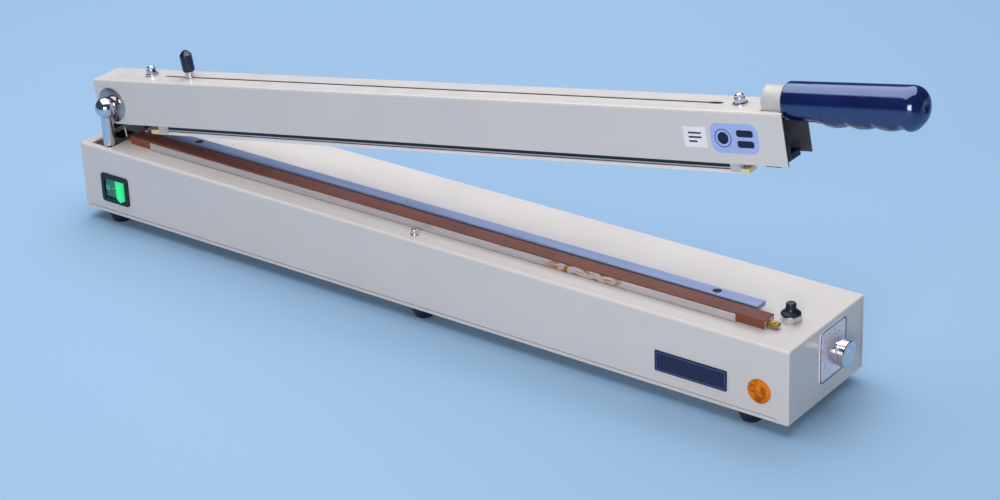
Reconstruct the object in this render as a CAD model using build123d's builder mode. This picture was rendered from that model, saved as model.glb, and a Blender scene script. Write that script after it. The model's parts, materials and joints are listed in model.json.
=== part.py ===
from build123d import *
import os
from math import atan2, cos, degrees, radians, sin

# Impulse heat sealer with a hinged pressing arm and a sliding knife.
# Frame: X to the right along the seal, Y to the back, Z up. The origin is under the middle of
# the whole machine, on the surface that its feet stand on. The arm stands open, at rest.

os.makedirs("parts", exist_ok=True)

# ---------------------------------------------------------------- driving dimensions, mm
base_length = 710.0
base_depth = 108.3
housing_depth = 104.4
housing_height = 60.5
sheet = 1.5
foot_height = 10.0

left = -397.733                    # left end of the housing, so that the whole is centred in X
front = -57.858                      # front face of the housing, so that the whole is centred in Y
right = left + base_length
floor_plate_z = foot_height
deck_z = foot_height + housing_height

open_angle = 10.05                 # how far the arm stands open
hinge_x = left + 26.0
hinge_z = deck_z + 33.9
arm_y = front + 35.3               # centre plane of the arm and of the knife

arm_start = -17.5                  # along the arm, measured from the hinge axis
arm_end = 677.7
arm_top = 22.1                     # across the arm, measured from the hinge axis
arm_bottom = -17.4
arm_width = 33.6

seal_start = left + 43.0           # the sealing bar
seal_end = left + 677.0
seal_front = front + 20.5
seal_width = 13.0
seal_top = deck_z + 7.6
knife_slot = 3.0
nut_stations = (39.7, 634.0)       # where the pressing bar hangs, along the arm
knife_station = 85.2               # where the knife is parked, along the arm
handle_axis = 26.0                 # height of the handle above the hinge axis, across the arm

button_x = left + 685.3
button_y = front + 44.0
lamp_x = left + 685.5
lamp_z = floor_plate_z + 22.0
switch_x = left + 38.5
switch_z = floor_plate_z + 24.5
dial_y = front + 60.2
dial_z = floor_plate_z + 36.5
rail_screw_xs = (left + 102.5, left + 623.0)
rail_front = arm_y + 1.0           # the knife rail runs just behind the knife
rail_back = rail_front + 11.5
rail_middle = (rail_front + rail_back) / 2
foot_xs = (left + 30.0, left + 365.5, left + 672.0)
foot_ys = (front + 12.2, front + 91.0)

slip = 0.3                         # clearance between parts that move past each other
bearing = 0.05                     # radial clearance of a turning fit

# ---------------------------------------------------------------- planes of the open arm
along = (cos(radians(open_angle)), 0, sin(radians(open_angle)))
across = (-sin(radians(open_angle)), 0, cos(radians(open_angle)))
arm_plane = Plane(origin=(hinge_x, arm_y, hinge_z), x_dir=along, z_dir=across)


def arm_level(height):
    """A plane parallel to the arm's top, at a height above the hinge axis."""
    return arm_plane.offset(height)


def arm_section(station):
    """A plane square to the arm: its x runs to the back and its y runs up the arm."""
    return Plane(origin=arm_plane.from_local_coords((station, 0, 0)), x_dir=(0, 1, 0), z_dir=along)


def arm_side(offset_y):
    """A plane along the arm that faces the front: its x runs along the arm, its y up the arm."""
    return Plane(origin=(hinge_x, arm_y + offset_y, hinge_z), x_dir=along, z_dir=(0, -1, 0))


def facing_front(y):
    """A plane that faces the front at y: its x is X and its y is Z."""
    return Plane.XZ.offset(-y)


def facing_right(x):
    """A plane that faces right at x: its x is Y and its y is Z."""
    return Plane.YZ.offset(x)


def block(low, high, mode=Mode.ADD):
    """A box between two corners, in the frame of the sub-part it is used in."""
    middle = [(a + b) / 2 for a, b in zip(low, high)]
    sides = [b - a for a, b in zip(low, high)]
    with Locations(tuple(middle)):
        Box(*sides, mode=mode)


def stand(radius, height, mode=Mode.ADD):
    """A cylinder that stands on each current location and rises along its normal."""
    Cylinder(radius, height, align=(Align.CENTER, Align.CENTER, Align.MIN), mode=mode)


def keep(builder, name):
    """Label a finished sub-part and write it to its file."""
    builder.part.label = name
    export_step(builder.part, f"parts/{name}.step")
    print(name, len(builder.part.solids()), round(builder.part.volume))


# ================================================================ base: sheet-metal casing
hinge_window = (22.2, 61.0)        # opening in the deck that the hinge posts come out of
window_x = left + 10.2 + hinge_window[0] / 2
band_lead_xs = (left + 36.5, left + 682.0)
bar_bolt_xs = (left + 90.0, left + 360.0, left + 630.0)
lip_height = 3.4                   # the front wall stops above the folded edge of the floor plate
notch = (left + 4.0, left + 700.0)
panel_screw_xs = (left + 12.0, left + 240.0, left + 470.0, right - 12.0)
panel_screw_z = deck_z - 9.0

with BuildPart() as housing:
    block((left, front, floor_plate_z), (right, front + housing_depth, deck_z))
    bend = housing.edges().filter_by(Axis.X).group_by(Axis.Z)[-1].sort_by(Axis.Y)[0]
    fillet(bend, 2.5)
    ends = housing.edges().filter_by(Axis.Z)
    fillet(ends.group_by(Axis.Y)[0], 1.6)
    offset(amount=-sheet, openings=[housing.faces().sort_by(Axis.Z)[0],
                                    housing.faces().sort_by(Axis.Y)[-1]])
    # folded tabs that carry the rear panel
    for x in panel_screw_xs:
        tab_y = front + housing_depth
        block((x - 8, tab_y - sheet, deck_z - 16), (x + 8, tab_y, deck_z - sheet))
        with Locations(facing_front(tab_y)):
            with Locations((x, panel_screw_z)):
                Cylinder(1.5, 2 * sheet + 4, mode=Mode.SUBTRACT)
    # the front wall stops short over the floor plate's folded edge
    block((notch[0], front - 1, floor_plate_z - 1),
          (notch[1], front + sheet + 0.5, floor_plate_z + lip_height), mode=Mode.SUBTRACT)
    with BuildSketch(Plane.XY.offset(deck_z)):
        with Locations((window_x, arm_y)):
            RectangleRounded(*hinge_window, 1.5)
        with Locations((button_x, button_y)):
            Circle(4.0)
        with Locations((left + 361.5, front + 10.0)):
            Circle(1.5)
        with Locations(*[(x, seal_front + seal_width / 2) for x in bar_bolt_xs]):
            Circle(2.0)
        with Locations(*[(x, rail_middle) for x in rail_screw_xs]):
            Circle(2.0)
        with Locations(*[(x, seal_front + seal_width / 2) for x in band_lead_xs]):
            Circle(2.2)
    extrude(amount=-2 * sheet, mode=Mode.SUBTRACT)
    with BuildSketch(facing_front(front)):
        with Locations((switch_x, switch_z)):
            Rectangle(28.8, 23.8)
        with Locations((lamp_x, lamp_z)):
            Circle(7.0)
    extrude(amount=-2 * sheet, mode=Mode.SUBTRACT)
    with BuildSketch(facing_right(right)):
        with Locations((dial_y, dial_z)):
            Circle(3.5)
    extrude(amount=-2 * sheet, mode=Mode.SUBTRACT)
keep(housing, "housing")

gap = 0.3
lip_gap = 0.6
anchor = (left + 16.5, arm_y)      # where the return spring is hooked to the floor plate
anchor_radius = 4.0
anchor_height = 6.0
spring_wire = 1.1
core_low = (left + 520.0, front + 26.0, floor_plate_z + sheet)
core_size = (78.0, 50.0, 44.0)
core_bolt_spots = [(core_low[0] + dx, core_low[1] + dy) for dx in (6, 72) for dy in (6, 44)]

with BuildPart() as bottom_plate:
    inner_back = front + housing_depth - sheet - gap
    block((left + sheet + gap, front + sheet + gap, floor_plate_z),
          (right - sheet - gap, inner_back, floor_plate_z + sheet))
    block((notch[0] + gap, front, floor_plate_z),
          (notch[1] - gap, front + sheet, floor_plate_z + lip_height - lip_gap))
    block((notch[0] + gap, front + sheet, floor_plate_z),
          (notch[1] - gap, front + sheet + gap, floor_plate_z + sheet))
    with BuildSketch(Plane.XY.offset(floor_plate_z)):
        with Locations(*[(x, y) for x in foot_xs for y in foot_ys]):
            Circle(2.0)
        with Locations(*core_bolt_spots):
            Circle(2.0)
    extrude(amount=sheet, mode=Mode.SUBTRACT)
    # pressed boss that holds the lower end of the return spring
    with Locations((*anchor, floor_plate_z + sheet)):
        stand(anchor_radius, anchor_height)
    with Locations((*anchor, floor_plate_z + sheet)):
        stand(spring_wire, anchor_height, mode=Mode.SUBTRACT)
keep(bottom_plate, "bottom_plate")

gland_x = left + 70.0
gland_z = floor_plate_z + 26.0
panel_y = front + base_depth - sheet
gland_bore = 3.6

with BuildPart() as rear_panel:
    block((left, panel_y, floor_plate_z), (right, panel_y + sheet, deck_z))
    # folded top edge that closes the panel's gap to the deck
    block((left, front + housing_depth + 0.1, deck_z - sheet), (right, panel_y, deck_z))
    # spacer pads keep a shadow gap between the panel and the casing
    for x in panel_screw_xs:
        with BuildSketch(facing_front(panel_y)):
            with Locations((x, panel_screw_z)):
                Circle(4.0)
        extrude(amount=panel_y - front - housing_depth)
    with BuildSketch(facing_front(panel_y + sheet)):
        with Locations(*[(x, panel_screw_z) for x in panel_screw_xs]):
            Circle(1.5)
        with Locations((gland_x, gland_z)):
            Circle(6.0)
    extrude(amount=2 * sheet + 2, mode=Mode.SUBTRACT)
    fillet(rear_panel.edges().filter_by(Axis.Y).group_by(Axis.Z)[-1], 1.0)
keep(rear_panel, "rear_panel")

with BuildPart() as panel_screws:
    for x in panel_screw_xs:
        with BuildSketch(facing_front(panel_y + sheet)):
            with Locations((x, panel_screw_z)):
                Circle(3.0)
        extrude(amount=-1.9)
        with BuildSketch(facing_front(panel_y + sheet)):
            with Locations((x, panel_screw_z)):
                Circle(1.5)
        extrude(amount=8.0)
    heads = panel_screws.edges().filter_by(GeomType.CIRCLE).group_by(Axis.Y)[-1]
    fillet(heads, 0.9)
    for x in panel_screw_xs:
        slot_y = panel_y + sheet + 1.9
        block((x - 4, slot_y - 0.8, panel_screw_z - 0.4), (x + 4, slot_y + 1, panel_screw_z + 0.4),
              mode=Mode.SUBTRACT)
keep(panel_screws, "panel_screws")

foot_top = 12.0
foot_bore_depth = foot_height - 2.5
with BuildPart() as rubber_feet:
    with Locations(*[(x, y, 0) for x in foot_xs for y in foot_ys]):
        Cone(7.8, foot_top, foot_height, align=(Align.CENTER, Align.CENTER, Align.MIN))
        stand(4.2, foot_bore_depth, mode=Mode.SUBTRACT)
        stand(2.0, foot_height, mode=Mode.SUBTRACT)
    fillet(rubber_feet.edges().filter_by(GeomType.CIRCLE).group_by(Axis.Z)[0]
           .group_by(SortBy.RADIUS)[-1], 0.8)
keep(rubber_feet, "rubber_feet")

screw_head = 2.4
with BuildPart() as chassis_screws:
    for x in foot_xs:
        for y in foot_ys:
            with Locations((x, y, foot_bore_depth - screw_head)):
                stand(3.9, screw_head)
            with Locations((x, y, foot_bore_depth)):
                stand(2.0, foot_height + sheet - foot_bore_depth)
    for x, y in core_bolt_spots:
        with Locations((x, y, floor_plate_z)):
            stand(2.0, 9.0)
        with Locations((x, y, floor_plate_z - screw_head)):
            stand(3.9, screw_head)
    for x in bar_bolt_xs:
        with Locations((x, seal_front + seal_width / 2, deck_z - sheet - screw_head)):
            stand(3.9, screw_head)
        with Locations((x, seal_front + seal_width / 2, deck_z - sheet)):
            stand(2.0, sheet + 4.0)
keep(chassis_screws, "chassis_screws")

with BuildPart() as cable_gland:
    with BuildSketch(facing_right(gland_x)):
        with BuildLine():
            Polyline((panel_y + sheet, gland_z + gland_bore), (panel_y + sheet, gland_z + 9.0),
                     (panel_y + sheet + 3.5, gland_z + 9.0), (panel_y + sheet + 5.0, gland_z + 7.5),
                     (panel_y + sheet + 9.5, gland_z + 7.5), (panel_y + sheet + 12.5, gland_z + 5.6),
                     (panel_y + sheet + 12.5, gland_z + gland_bore),
                     (panel_y + sheet, gland_z + gland_bore))
        make_face()
        with BuildLine():
            Polyline((panel_y - 8.0, gland_z + gland_bore), (panel_y - 8.0, gland_z + 6.0),
                     (panel_y + sheet, gland_z + 6.0), (panel_y + sheet, gland_z + gland_bore),
                     (panel_y - 8.0, gland_z + gland_bore))
        make_face()
    revolve(axis=Axis((gland_x, 0, gland_z), (0, 1, 0)))
    with BuildSketch(facing_front(panel_y - gap)):
        with Locations((gland_x, gland_z)):
            RegularPolygon(9.0, 6)
            Circle(6.0 + gap, mode=Mode.SUBTRACT)
    extrude(amount=4.0)
keep(cable_gland, "cable_gland")

# ================================================================ hinge
post_radius = 5.4
ball_radius = 9.3
post_offset = 24.9                 # from the arm's centre plane to each post's axis
ball_flat = post_offset - post_radius - 0.1
axle_radius = 3.0
axle_reach = 28.0
yoke_top = deck_z - sheet
yoke_height = 14.0
stud_depth = 12.0
stud_radius = 4.0
stop_height = hinge_z - 22.4
stop_radius = 2.5
spring_x = anchor[0]
spring_coil = 6.0

with BuildPart() as hinge_yoke:
    block((left + 2.5, front + 4.2, yoke_top - yoke_height), (left + 34.5, front + 69.0, yoke_top))
    chamfer(hinge_yoke.edges().filter_by(Axis.Z), 1.5)
    # room for the return spring, and sockets for the posts
    block((spring_x - 8.5, arm_y - 8.5, yoke_top - yoke_height), (spring_x + 8.5, arm_y + 8.5, yoke_top),
          mode=Mode.SUBTRACT)
    with Locations((hinge_x, arm_y - post_offset, yoke_top), (hinge_x, arm_y + post_offset, yoke_top)):
        Hole(stud_radius, depth=stud_depth)
keep(hinge_yoke, "hinge_yoke")

with BuildPart() as hinge_posts:
    for side in (-1, 1):
        y = arm_y + side * post_offset
        with Locations((hinge_x, y, yoke_top - stud_depth)):
            stand(stud_radius, stud_depth)
        with Locations((hinge_x, y, yoke_top)):
            stand(post_radius, hinge_z - yoke_top)
        with Locations((hinge_x, y, hinge_z)):
            Sphere(ball_radius)
        # the ball is faced off flat towards the arm, and bored for the axle
        with Locations((hinge_x, arm_y + side * (ball_flat - 5), hinge_z)):
            Box(30, 10, 30, mode=Mode.SUBTRACT)
        with Locations(Plane.XZ.offset(-(arm_y + side * (axle_reach + slip) / 2))):
            with Locations((hinge_x, hinge_z)):
                Cylinder(axle_radius + bearing, axle_reach + slip, mode=Mode.SUBTRACT)
        with Locations(Plane.XZ.offset(-(arm_y + side * (post_offset - 2) / 2))):
            with Locations((hinge_x, stop_height)):
                Cylinder(stop_radius, post_offset - 2, mode=Mode.SUBTRACT)
keep(hinge_posts, "hinge_posts")

with BuildPart() as stop_rod:
    with Locations(facing_front(arm_y)):
        with Locations((hinge_x, stop_height)):
            Cylinder(stop_radius, 2 * (post_offset - 2))
keep(stop_rod, "stop_rod")

tail_pin = (-9.5, -9.5)            # along and across the arm, from the hinge axis
pin_radius = 2.5
pin_x = hinge_x + tail_pin[0] * along[0] + tail_pin[1] * across[0]
pin_z = hinge_z + tail_pin[0] * along[2] + tail_pin[1] * across[2]
coil_bottom = floor_plate_z + sheet + anchor_height + 6.0
coil_height = 27.0

with BuildPart() as return_spring:
    with BuildLine():
        coil = Helix(pitch=coil_height / 9, height=coil_height, radius=spring_coil,
                     center=(spring_x, arm_y, coil_bottom))
    with BuildSketch(Plane(origin=coil @ 0, z_dir=coil % 0)):
        Circle(spring_wire)
    sweep(is_frenet=True)
    hook_radius = pin_radius + spring_wire + slip
    with BuildLine():
        top_leg = FilletPolyline((spring_x + spring_coil, arm_y, coil_bottom + coil_height),
                                 (spring_x, arm_y, coil_bottom + coil_height + 3.5),
                                 (pin_x, arm_y, pin_z - hook_radius), radius=2.0)
    with BuildSketch(Plane(origin=top_leg @ 0, z_dir=top_leg % 0)):
        Circle(spring_wire)
    sweep()
    with BuildLine():
        low_leg = FilletPolyline((spring_x + spring_coil, arm_y, coil_bottom),
                                 (spring_x, arm_y, coil_bottom - 3.0),
                                 (spring_x, arm_y, floor_plate_z + sheet + 0.2), radius=1.5)
    with BuildSketch(Plane(origin=low_leg @ 0, z_dir=low_leg % 0)):
        Circle(spring_wire)
    sweep()
    with Locations(Location((pin_x, arm_y, pin_z), (90, 0, 0))):
        Torus(hook_radius, spring_wire)
    with Locations(coil @ 0, coil @ 1, top_leg @ 1):
        Sphere(spring_wire)
keep(return_spring, "return_spring")

# ================================================================ lower sealing bar
cloth = 0.25
band_thickness = 0.2
bar_top = seal_top - cloth - band_thickness - 0.3
seal_back = seal_front + seal_width
strip_start = left + 66.0
strip_end = left + 653.0
plug_x = seal_start + 19.0

with BuildPart() as sealing_bar:
    block((seal_start, seal_front, deck_z), (seal_end, seal_back, bar_top))
    # T-shaped groove in the underside for the bolts
    block((seal_start, seal_front + 4.2, deck_z), (seal_end, seal_back - 4.2, deck_z + 4.0),
          mode=Mode.SUBTRACT)
    block((seal_start, seal_front + 2.2, deck_z + 1.6), (seal_end, seal_back - 2.2, deck_z + 4.0),
          mode=Mode.SUBTRACT)
    # plug in the groove that the band's tension spring pushes from
    block((plug_x, seal_front + 1.0, deck_z), (plug_x + 5.0, seal_back - 1.0, deck_z + 4.2))
    chamfer(sealing_bar.edges().filter_by(Axis.X).group_by(Axis.Z)[-1], 0.5)
keep(sealing_bar, "sealing_bar")

with BuildPart() as insulation_strip:
    block((seal_start + 3, seal_front + 0.6, bar_top), (seal_end - 3, seal_back - 0.6, bar_top + 0.3))
keep(insulation_strip, "insulation_strip")

band_half = 2.0
with BuildPart() as heating_band:
    middle_y = seal_front + seal_width / 2
    block((seal_start + 1, middle_y - band_half, bar_top + 0.3),
          (seal_end - 1, middle_y + band_half, bar_top + 0.3 + band_thickness))
keep(heating_band, "heating_band")

with BuildPart() as ptfe_cover:
    block((seal_start, seal_front - cloth, seal_top - cloth), (seal_end, seal_back + cloth, seal_top))
    block((seal_start, seal_front - cloth, deck_z + 0.5), (seal_end, seal_front, seal_top - cloth))
    block((seal_start, seal_back, deck_z + 3.0), (seal_end, seal_back + cloth, seal_top - cloth))
keep(ptfe_cover, "ptfe_cover")

strip_thickness = 1.1
with BuildPart() as clamp_strip:
    block((strip_start, seal_front - cloth - strip_thickness, deck_z + 0.6),
          (strip_end, seal_front - cloth, seal_top - 0.9))
    chamfer(clamp_strip.edges().filter_by(Axis.X).group_by(Axis.Y)[0], 0.25)
keep(clamp_strip, "clamp_strip")

terminal_z = (deck_z + 1.2, deck_z + 4.7)
terminal_half = 2.4
tension_axis_z = deck_z + 2.4
with BuildPart() as band_terminal_fixed:
    block((seal_end, middle_y - terminal_half, terminal_z[0]),
          (seal_end + 8.4, middle_y + terminal_half, terminal_z[1]))
    chamfer(band_terminal_fixed.edges().filter_by(Axis.Y).group_by(Axis.X)[-1], 0.6)
    # the shank reaches into the profile's groove, and a screw pinches the lead
    block((seal_end - 12, middle_y - 2.0, deck_z + 1.0), (seal_end, middle_y + 2.0, deck_z + 3.6))
    with Locations((seal_end + 5.0, middle_y, deck_z - 6)):
        stand(1.4, 7.4)
    with Locations((seal_end + 4.4, middle_y, terminal_z[1])):
        stand(1.7, 1.0)
        Box(4, 0.5, 1.2, mode=Mode.SUBTRACT)
keep(band_terminal_fixed, "band_terminal_fixed")

tension_travel = 2.0
with BuildPart() as band_terminal_sliding:
    slide_x = seal_start - tension_travel - 0.5
    block((slide_x - 7.0, middle_y - terminal_half, terminal_z[0]),
          (slide_x, middle_y + terminal_half, terminal_z[1]))
    chamfer(band_terminal_sliding.edges().filter_by(Axis.Y).group_by(Axis.X)[0], 0.6)
    with Locations(facing_right(slide_x)):
        with Locations((middle_y, tension_axis_z)):
            stand(0.7, 20.0)
keep(band_terminal_sliding, "band_terminal_sliding")

with BuildPart() as tension_spring:
    with BuildLine():
        tension_coil = Helix(pitch=2.1, height=plug_x - slide_x - 0.5, radius=1.15, direction=(1, 0, 0),
                             center=(slide_x + 0.25, middle_y, tension_axis_z))
    with BuildSketch(Plane(origin=tension_coil @ 0, z_dir=tension_coil % 0)):
        Circle(0.22)
    sweep(is_frenet=True)
keep(tension_spring, "tension_spring")

# ================================================================ knife rail behind the bar
rail_bottom = deck_z + 4.4
rail_top = deck_z + 8.3
rail_ends = (left + 47.0, left + 661.5)

with BuildPart() as cutting_rail:
    block((rail_ends[0], rail_front, rail_bottom), (rail_ends[1], rail_back, rail_top))
    chamfer(cutting_rail.edges().filter_by(Axis.X).group_by(Axis.Z)[-1], 0.6)
    with Locations(*[(x, rail_middle, rail_top) for x in rail_screw_xs]):
        CounterSinkHole(2.0, 3.6)
keep(cutting_rail, "cutting_rail")

with BuildPart() as rail_spacers:
    with Locations(*[(x, rail_middle, deck_z) for x in (*rail_screw_xs, left + 360.0)]):
        stand(4.5, rail_bottom - deck_z)
    with Locations(*[(x, rail_middle, deck_z) for x in rail_screw_xs]):
        stand(2.0, rail_bottom - deck_z, mode=Mode.SUBTRACT)
keep(rail_spacers, "rail_spacers")

with BuildPart() as rail_screws:
    for x in rail_screw_xs:
        with Locations((x, rail_middle, rail_top - 1.7)):
            Cone(2.0, 3.3, 1.5, align=(Align.CENTER, Align.CENTER, Align.MIN))
        with Locations((x, rail_middle, deck_z - 4.0)):
            stand(1.98, rail_top - 1.7 - deck_z + 4.0)
        with Locations((x, rail_middle, rail_top)):
            Box(7, 0.8, 1.4, rotation=(0, 0, 40), mode=Mode.SUBTRACT)
keep(rail_screws, "rail_screws")

with BuildPart() as film_peg:
    with Locations((left + 361.5, front + 10.0, deck_z)):
        stand(3.6, 1.0)
        stand(2.9, 5.0)
        Cylinder(1.5, 4.0, align=(Align.CENTER, Align.CENTER, Align.MAX))
    fillet(film_peg.edges().filter_by(GeomType.CIRCLE).group_by(Axis.Z)[-1], 0.8)
keep(film_peg, "film_peg")

# ================================================================ electrical parts
with BuildPart() as transformer:
    high = [a + b for a, b in zip(core_low, core_size)]
    block(core_low, high)
    with Locations(*[(x, y, core_low[2]) for x, y in core_bolt_spots]):
        stand(2.0, 8.0, mode=Mode.SUBTRACT)
    # winding window through the laminated core
    block((core_low[0] + 14, core_low[1] - 1, core_low[2] + 8),
          (high[0] - 14, high[1] + 1, high[2] - 8), mode=Mode.SUBTRACT)
    block((core_low[0] + 15, core_low[1] - 9, core_low[2] + 9),
          (high[0] - 15, high[1] + 9, high[2] - 9))
keep(transformer, "transformer")

board_x = right - 22.0
with BuildPart() as timer_board:
    block((board_x, front + 52, floor_plate_z + 6), (board_x + 1.6, front + 98, deck_z - 5))
    block((board_x - 15, front + 77, floor_plate_z + 12), (board_x, front + 95, floor_plate_z + 40))
    block((board_x - 9, front + 54, floor_plate_z + 30), (board_x, front + 70, floor_plate_z + 42))
    with Locations(facing_right(board_x - 14)):
        with Locations((front + 62, floor_plate_z + 16)):
            stand(5.0, 14)
keep(timer_board, "timer_board")

pot_reach = right - sheet - 9.0
with BuildPart() as potentiometer:
    with Locations(facing_right(board_x + 1.6)):
        with Locations((dial_y, dial_z)):
            stand(10.4, right - sheet - 1.5 - board_x - 1.6)
    with Locations(facing_right(right - sheet - 1.5)):
        with Locations((dial_y, dial_z)):
            stand(3.5, 5.4)
    with Locations(facing_right(pot_reach)):
        with Locations((dial_y, dial_z)):
            stand(2.2 + bearing, 20, mode=Mode.SUBTRACT)
keep(potentiometer, "potentiometer")

plate_thickness = 0.8
dial_size = (37.6, 42.5)
with BuildPart() as dial_plate:
    with BuildSketch(facing_right(right)):
        with Locations((front + 62.2, floor_plate_z + 34.9)):
            RectangleRounded(*dial_size, 4.0)
        with Locations((dial_y, dial_z)):
            Circle(3.5, mode=Mode.SUBTRACT)
    extrude(amount=plate_thickness)
keep(dial_plate, "dial_plate")

# The knob's outline, as distance from the end wall and radius
knob_face = 15.7
knob_profile = [(3.6, 0), (3.6, 9.4), (4.4, 9.9), (7.2, 9.9), (7.2, 9.4), (7.8, 9.4), (7.8, 10.0),
                (10.8, 10.0), (10.8, 9.3), (11.4, 9.3), (11.4, 10.4), (15.1, 10.4), (knob_face, 9.8),
                (knob_face, 0)]
with BuildPart() as timer_knob:
    with BuildSketch(Plane(origin=(right, dial_y, dial_z), x_dir=(1, 0, 0), z_dir=(0, -1, 0))):
        with BuildLine():
            Polyline(*knob_profile, close=True)
        make_face()
    revolve(axis=Axis((right, dial_y, dial_z), (1, 0, 0)))
    with Locations(facing_right(pot_reach + slip)):
        with Locations((dial_y, dial_z)):
            stand(2.2, right + 4.5 - pot_reach - slip)
    # grip flutes round the middle band, and a pointer groove on the face
    with Locations(facing_right(right + 7.8)):
        with Locations((dial_y, dial_z)):
            with PolarLocations(10.1, 36):
                stand(0.3, 3.0, mode=Mode.SUBTRACT)
    with Locations((right + knob_face, dial_y, dial_z + 5.4)):
        Box(0.8, 0.9, 5.0, mode=Mode.SUBTRACT)
keep(timer_knob, "timer_knob")

with BuildPart() as name_plate:
    with BuildSketch(facing_front(front)):
        with Locations((left + 626.5, floor_plate_z + 21.7)):
            RectangleRounded(63.0, 17.0, 0.8)
    extrude(amount=plate_thickness)
keep(name_plate, "name_plate")

bezel = (31.5, 26.5, 2.0)
rocker_half = (10.8, 8.8)
opening_half = (rocker_half[0] + 1.1, rocker_half[1] + 0.3)
rocker_tilt = 13.0
rocker_pivot_y = front + 2.6
trunnion = 1.5
trunnion_reach = 10.4
with BuildPart() as rocker_switch_body:
    with BuildSketch(facing_front(front)):
        with Locations((switch_x, switch_z)):
            RectangleRounded(bezel[0], bezel[1], 3.0)
    extrude(amount=bezel[2])
    fillet(rocker_switch_body.faces().sort_by(Axis.Y)[0].edges(), 0.9)
    block((switch_x - 14.3, front, switch_z - 11.8), (switch_x + 14.3, front + 24, switch_z + 11.8))
    block((switch_x - opening_half[0], front - 5, switch_z - opening_half[1]),
          (switch_x + opening_half[0], front + 13, switch_z + opening_half[1]), mode=Mode.SUBTRACT)
    with Locations((switch_x, rocker_pivot_y, switch_z)):
        Cylinder(trunnion + bearing, 2 * trunnion_reach + 0.8, mode=Mode.SUBTRACT)
    for dx in (-8, 0, 8):
        block((switch_x + dx - 0.4, front + 24, switch_z - 3.2),
              (switch_x + dx + 0.4, front + 32, switch_z + 3.2))
keep(rocker_switch_body, "rocker_switch_body")

# The rocker is a shallow V seen from above. It rests with its left half pressed in.
rocker_turn = radians(-rocker_tilt)
rocker_x = (cos(rocker_turn), sin(rocker_turn), 0)
rocker_plane = Plane(origin=(switch_x, rocker_pivot_y, switch_z - rocker_half[1]), x_dir=rocker_x,
                     z_dir=(0, 0, 1))
face_middle = -2.9
face_rise = rocker_half[0] * sin(radians(rocker_tilt)) / cos(radians(rocker_tilt))
with BuildPart() as rocker_button:
    with BuildSketch(rocker_plane):
        with BuildLine():
            Polyline((-rocker_half[0], face_middle - face_rise), (0, face_middle),
                     (rocker_half[0], face_middle - face_rise), (rocker_half[0] - 0.5, 2.0),
                     (5.0, 6.5), (-5.0, 6.5), (0.5 - rocker_half[0], 2.0), close=True)
        make_face()
    extrude(amount=2 * rocker_half[1])
    with Locations((switch_x, rocker_pivot_y, switch_z)):
        Cylinder(trunnion, 2 * trunnion_reach)
    # finger grooves across the raised half, one over the other
    groove_length = 7.4
    groove_middle = rocker_half[0] - groove_length / 2 + 0.6
    groove_tilt = degrees(rocker_turn - atan2(face_rise, rocker_half[0]))
    spot = rocker_plane.from_local_coords(
        (groove_middle, face_middle - groove_middle * face_rise / rocker_half[0], 0))
    for dz in (-5.2, -2.6, 0.0, 2.6, 5.2):
        with Locations(Location((spot.X, spot.Y, switch_z + dz), (0, 0, groove_tilt))):
            Box(groove_length, 1.3, 1.1, mode=Mode.SUBTRACT)
keep(rocker_button, "rocker_button")

# The lamp's cap is a flat-faced dome with a ring of facets
lens_radius = 9.8
lens_rim = 0.6
lens_rise = 1.3                    # how far the cap stands out of the front wall
with BuildPart() as signal_lens:
    with BuildSketch(facing_front(front)):
        with Locations((lamp_x, lamp_z)):
            Circle(lens_radius)
    extrude(amount=lens_rim)
    with BuildSketch(facing_front(front - lens_rim)):
        with Locations((lamp_x, lamp_z)):
            RegularPolygon(lens_radius - 0.2, 12)
    with BuildSketch(facing_front(front - lens_rise)):
        with Locations((lamp_x, lamp_z)):
            RegularPolygon(6.4, 12)
    loft()
    # hollow neck that snaps over the lamp holder
    with BuildSketch(facing_front(front)):
        with Locations((lamp_x, lamp_z)):
            Circle(6.9)
    extrude(amount=-6.0)
    with BuildSketch(facing_front(front + 6.0)):
        with Locations((lamp_x, lamp_z)):
            Circle(5.4)
    extrude(amount=6.0 + lens_rim, mode=Mode.SUBTRACT)
keep(signal_lens, "signal_lens")

with BuildPart() as lamp_body:
    with BuildSketch(facing_front(front + 1.0)):
        with Locations((lamp_x, lamp_z)):
            Circle(5.2)
    extrude(amount=-21.0)
    with BuildSketch(facing_front(front + 6.4)):
        with Locations((lamp_x, lamp_z)):
            Circle(10.0)
    extrude(amount=-3.0)
    with Locations(*[(lamp_x + dx, front + 25, lamp_z) for dx in (-2.5, 2.5)]):
        Box(0.8, 8, 3.2)
keep(lamp_body, "lamp_body")

nut_height = 5.0
button_top = deck_z + 14.8
bush_top = deck_z + 7.1
with BuildPart() as button_switch:
    with Locations((button_x, button_y, deck_z - sheet - 18.0)):
        Box(15, 12, 18, align=(Align.CENTER, Align.CENTER, Align.MIN))
    with Locations((button_x, button_y, deck_z - sheet)):
        stand(4.0, bush_top - deck_z + sheet)
    with Locations((button_x, button_y, deck_z - 12.0)):
        stand(1.8 + slip, bush_top - deck_z + 12.0, mode=Mode.SUBTRACT)
    for dx in (-4, 4):
        block((button_x + dx - 0.4, button_y - 3, deck_z - sheet - 25),
              (button_x + dx + 0.4, button_y + 3, deck_z - sheet - 18))
keep(button_switch, "button_switch")

with BuildPart() as button_nut:
    with BuildSketch(Plane.XY.offset(deck_z)):
        with Locations((button_x, button_y)):
            RegularPolygon(8.2, 6, rotation=15)
            Circle(4.0, mode=Mode.SUBTRACT)
    extrude(amount=nut_height)
    with BuildSketch(Plane.XY.offset(deck_z + nut_height)) as crown:
        with Locations((button_x, button_y)):
            Circle(7.4)
            Circle(4.0, mode=Mode.SUBTRACT)
    extrude(amount=0.5)
keep(button_nut, "button_nut")

boot_foot = deck_z + nut_height + 0.5
with BuildPart() as button_plunger:
    with Locations((button_x, button_y, deck_z - 8.0)):
        stand(1.8, button_top - 1.2 - deck_z + 8.0)
keep(button_plunger, "button_plunger")

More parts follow.
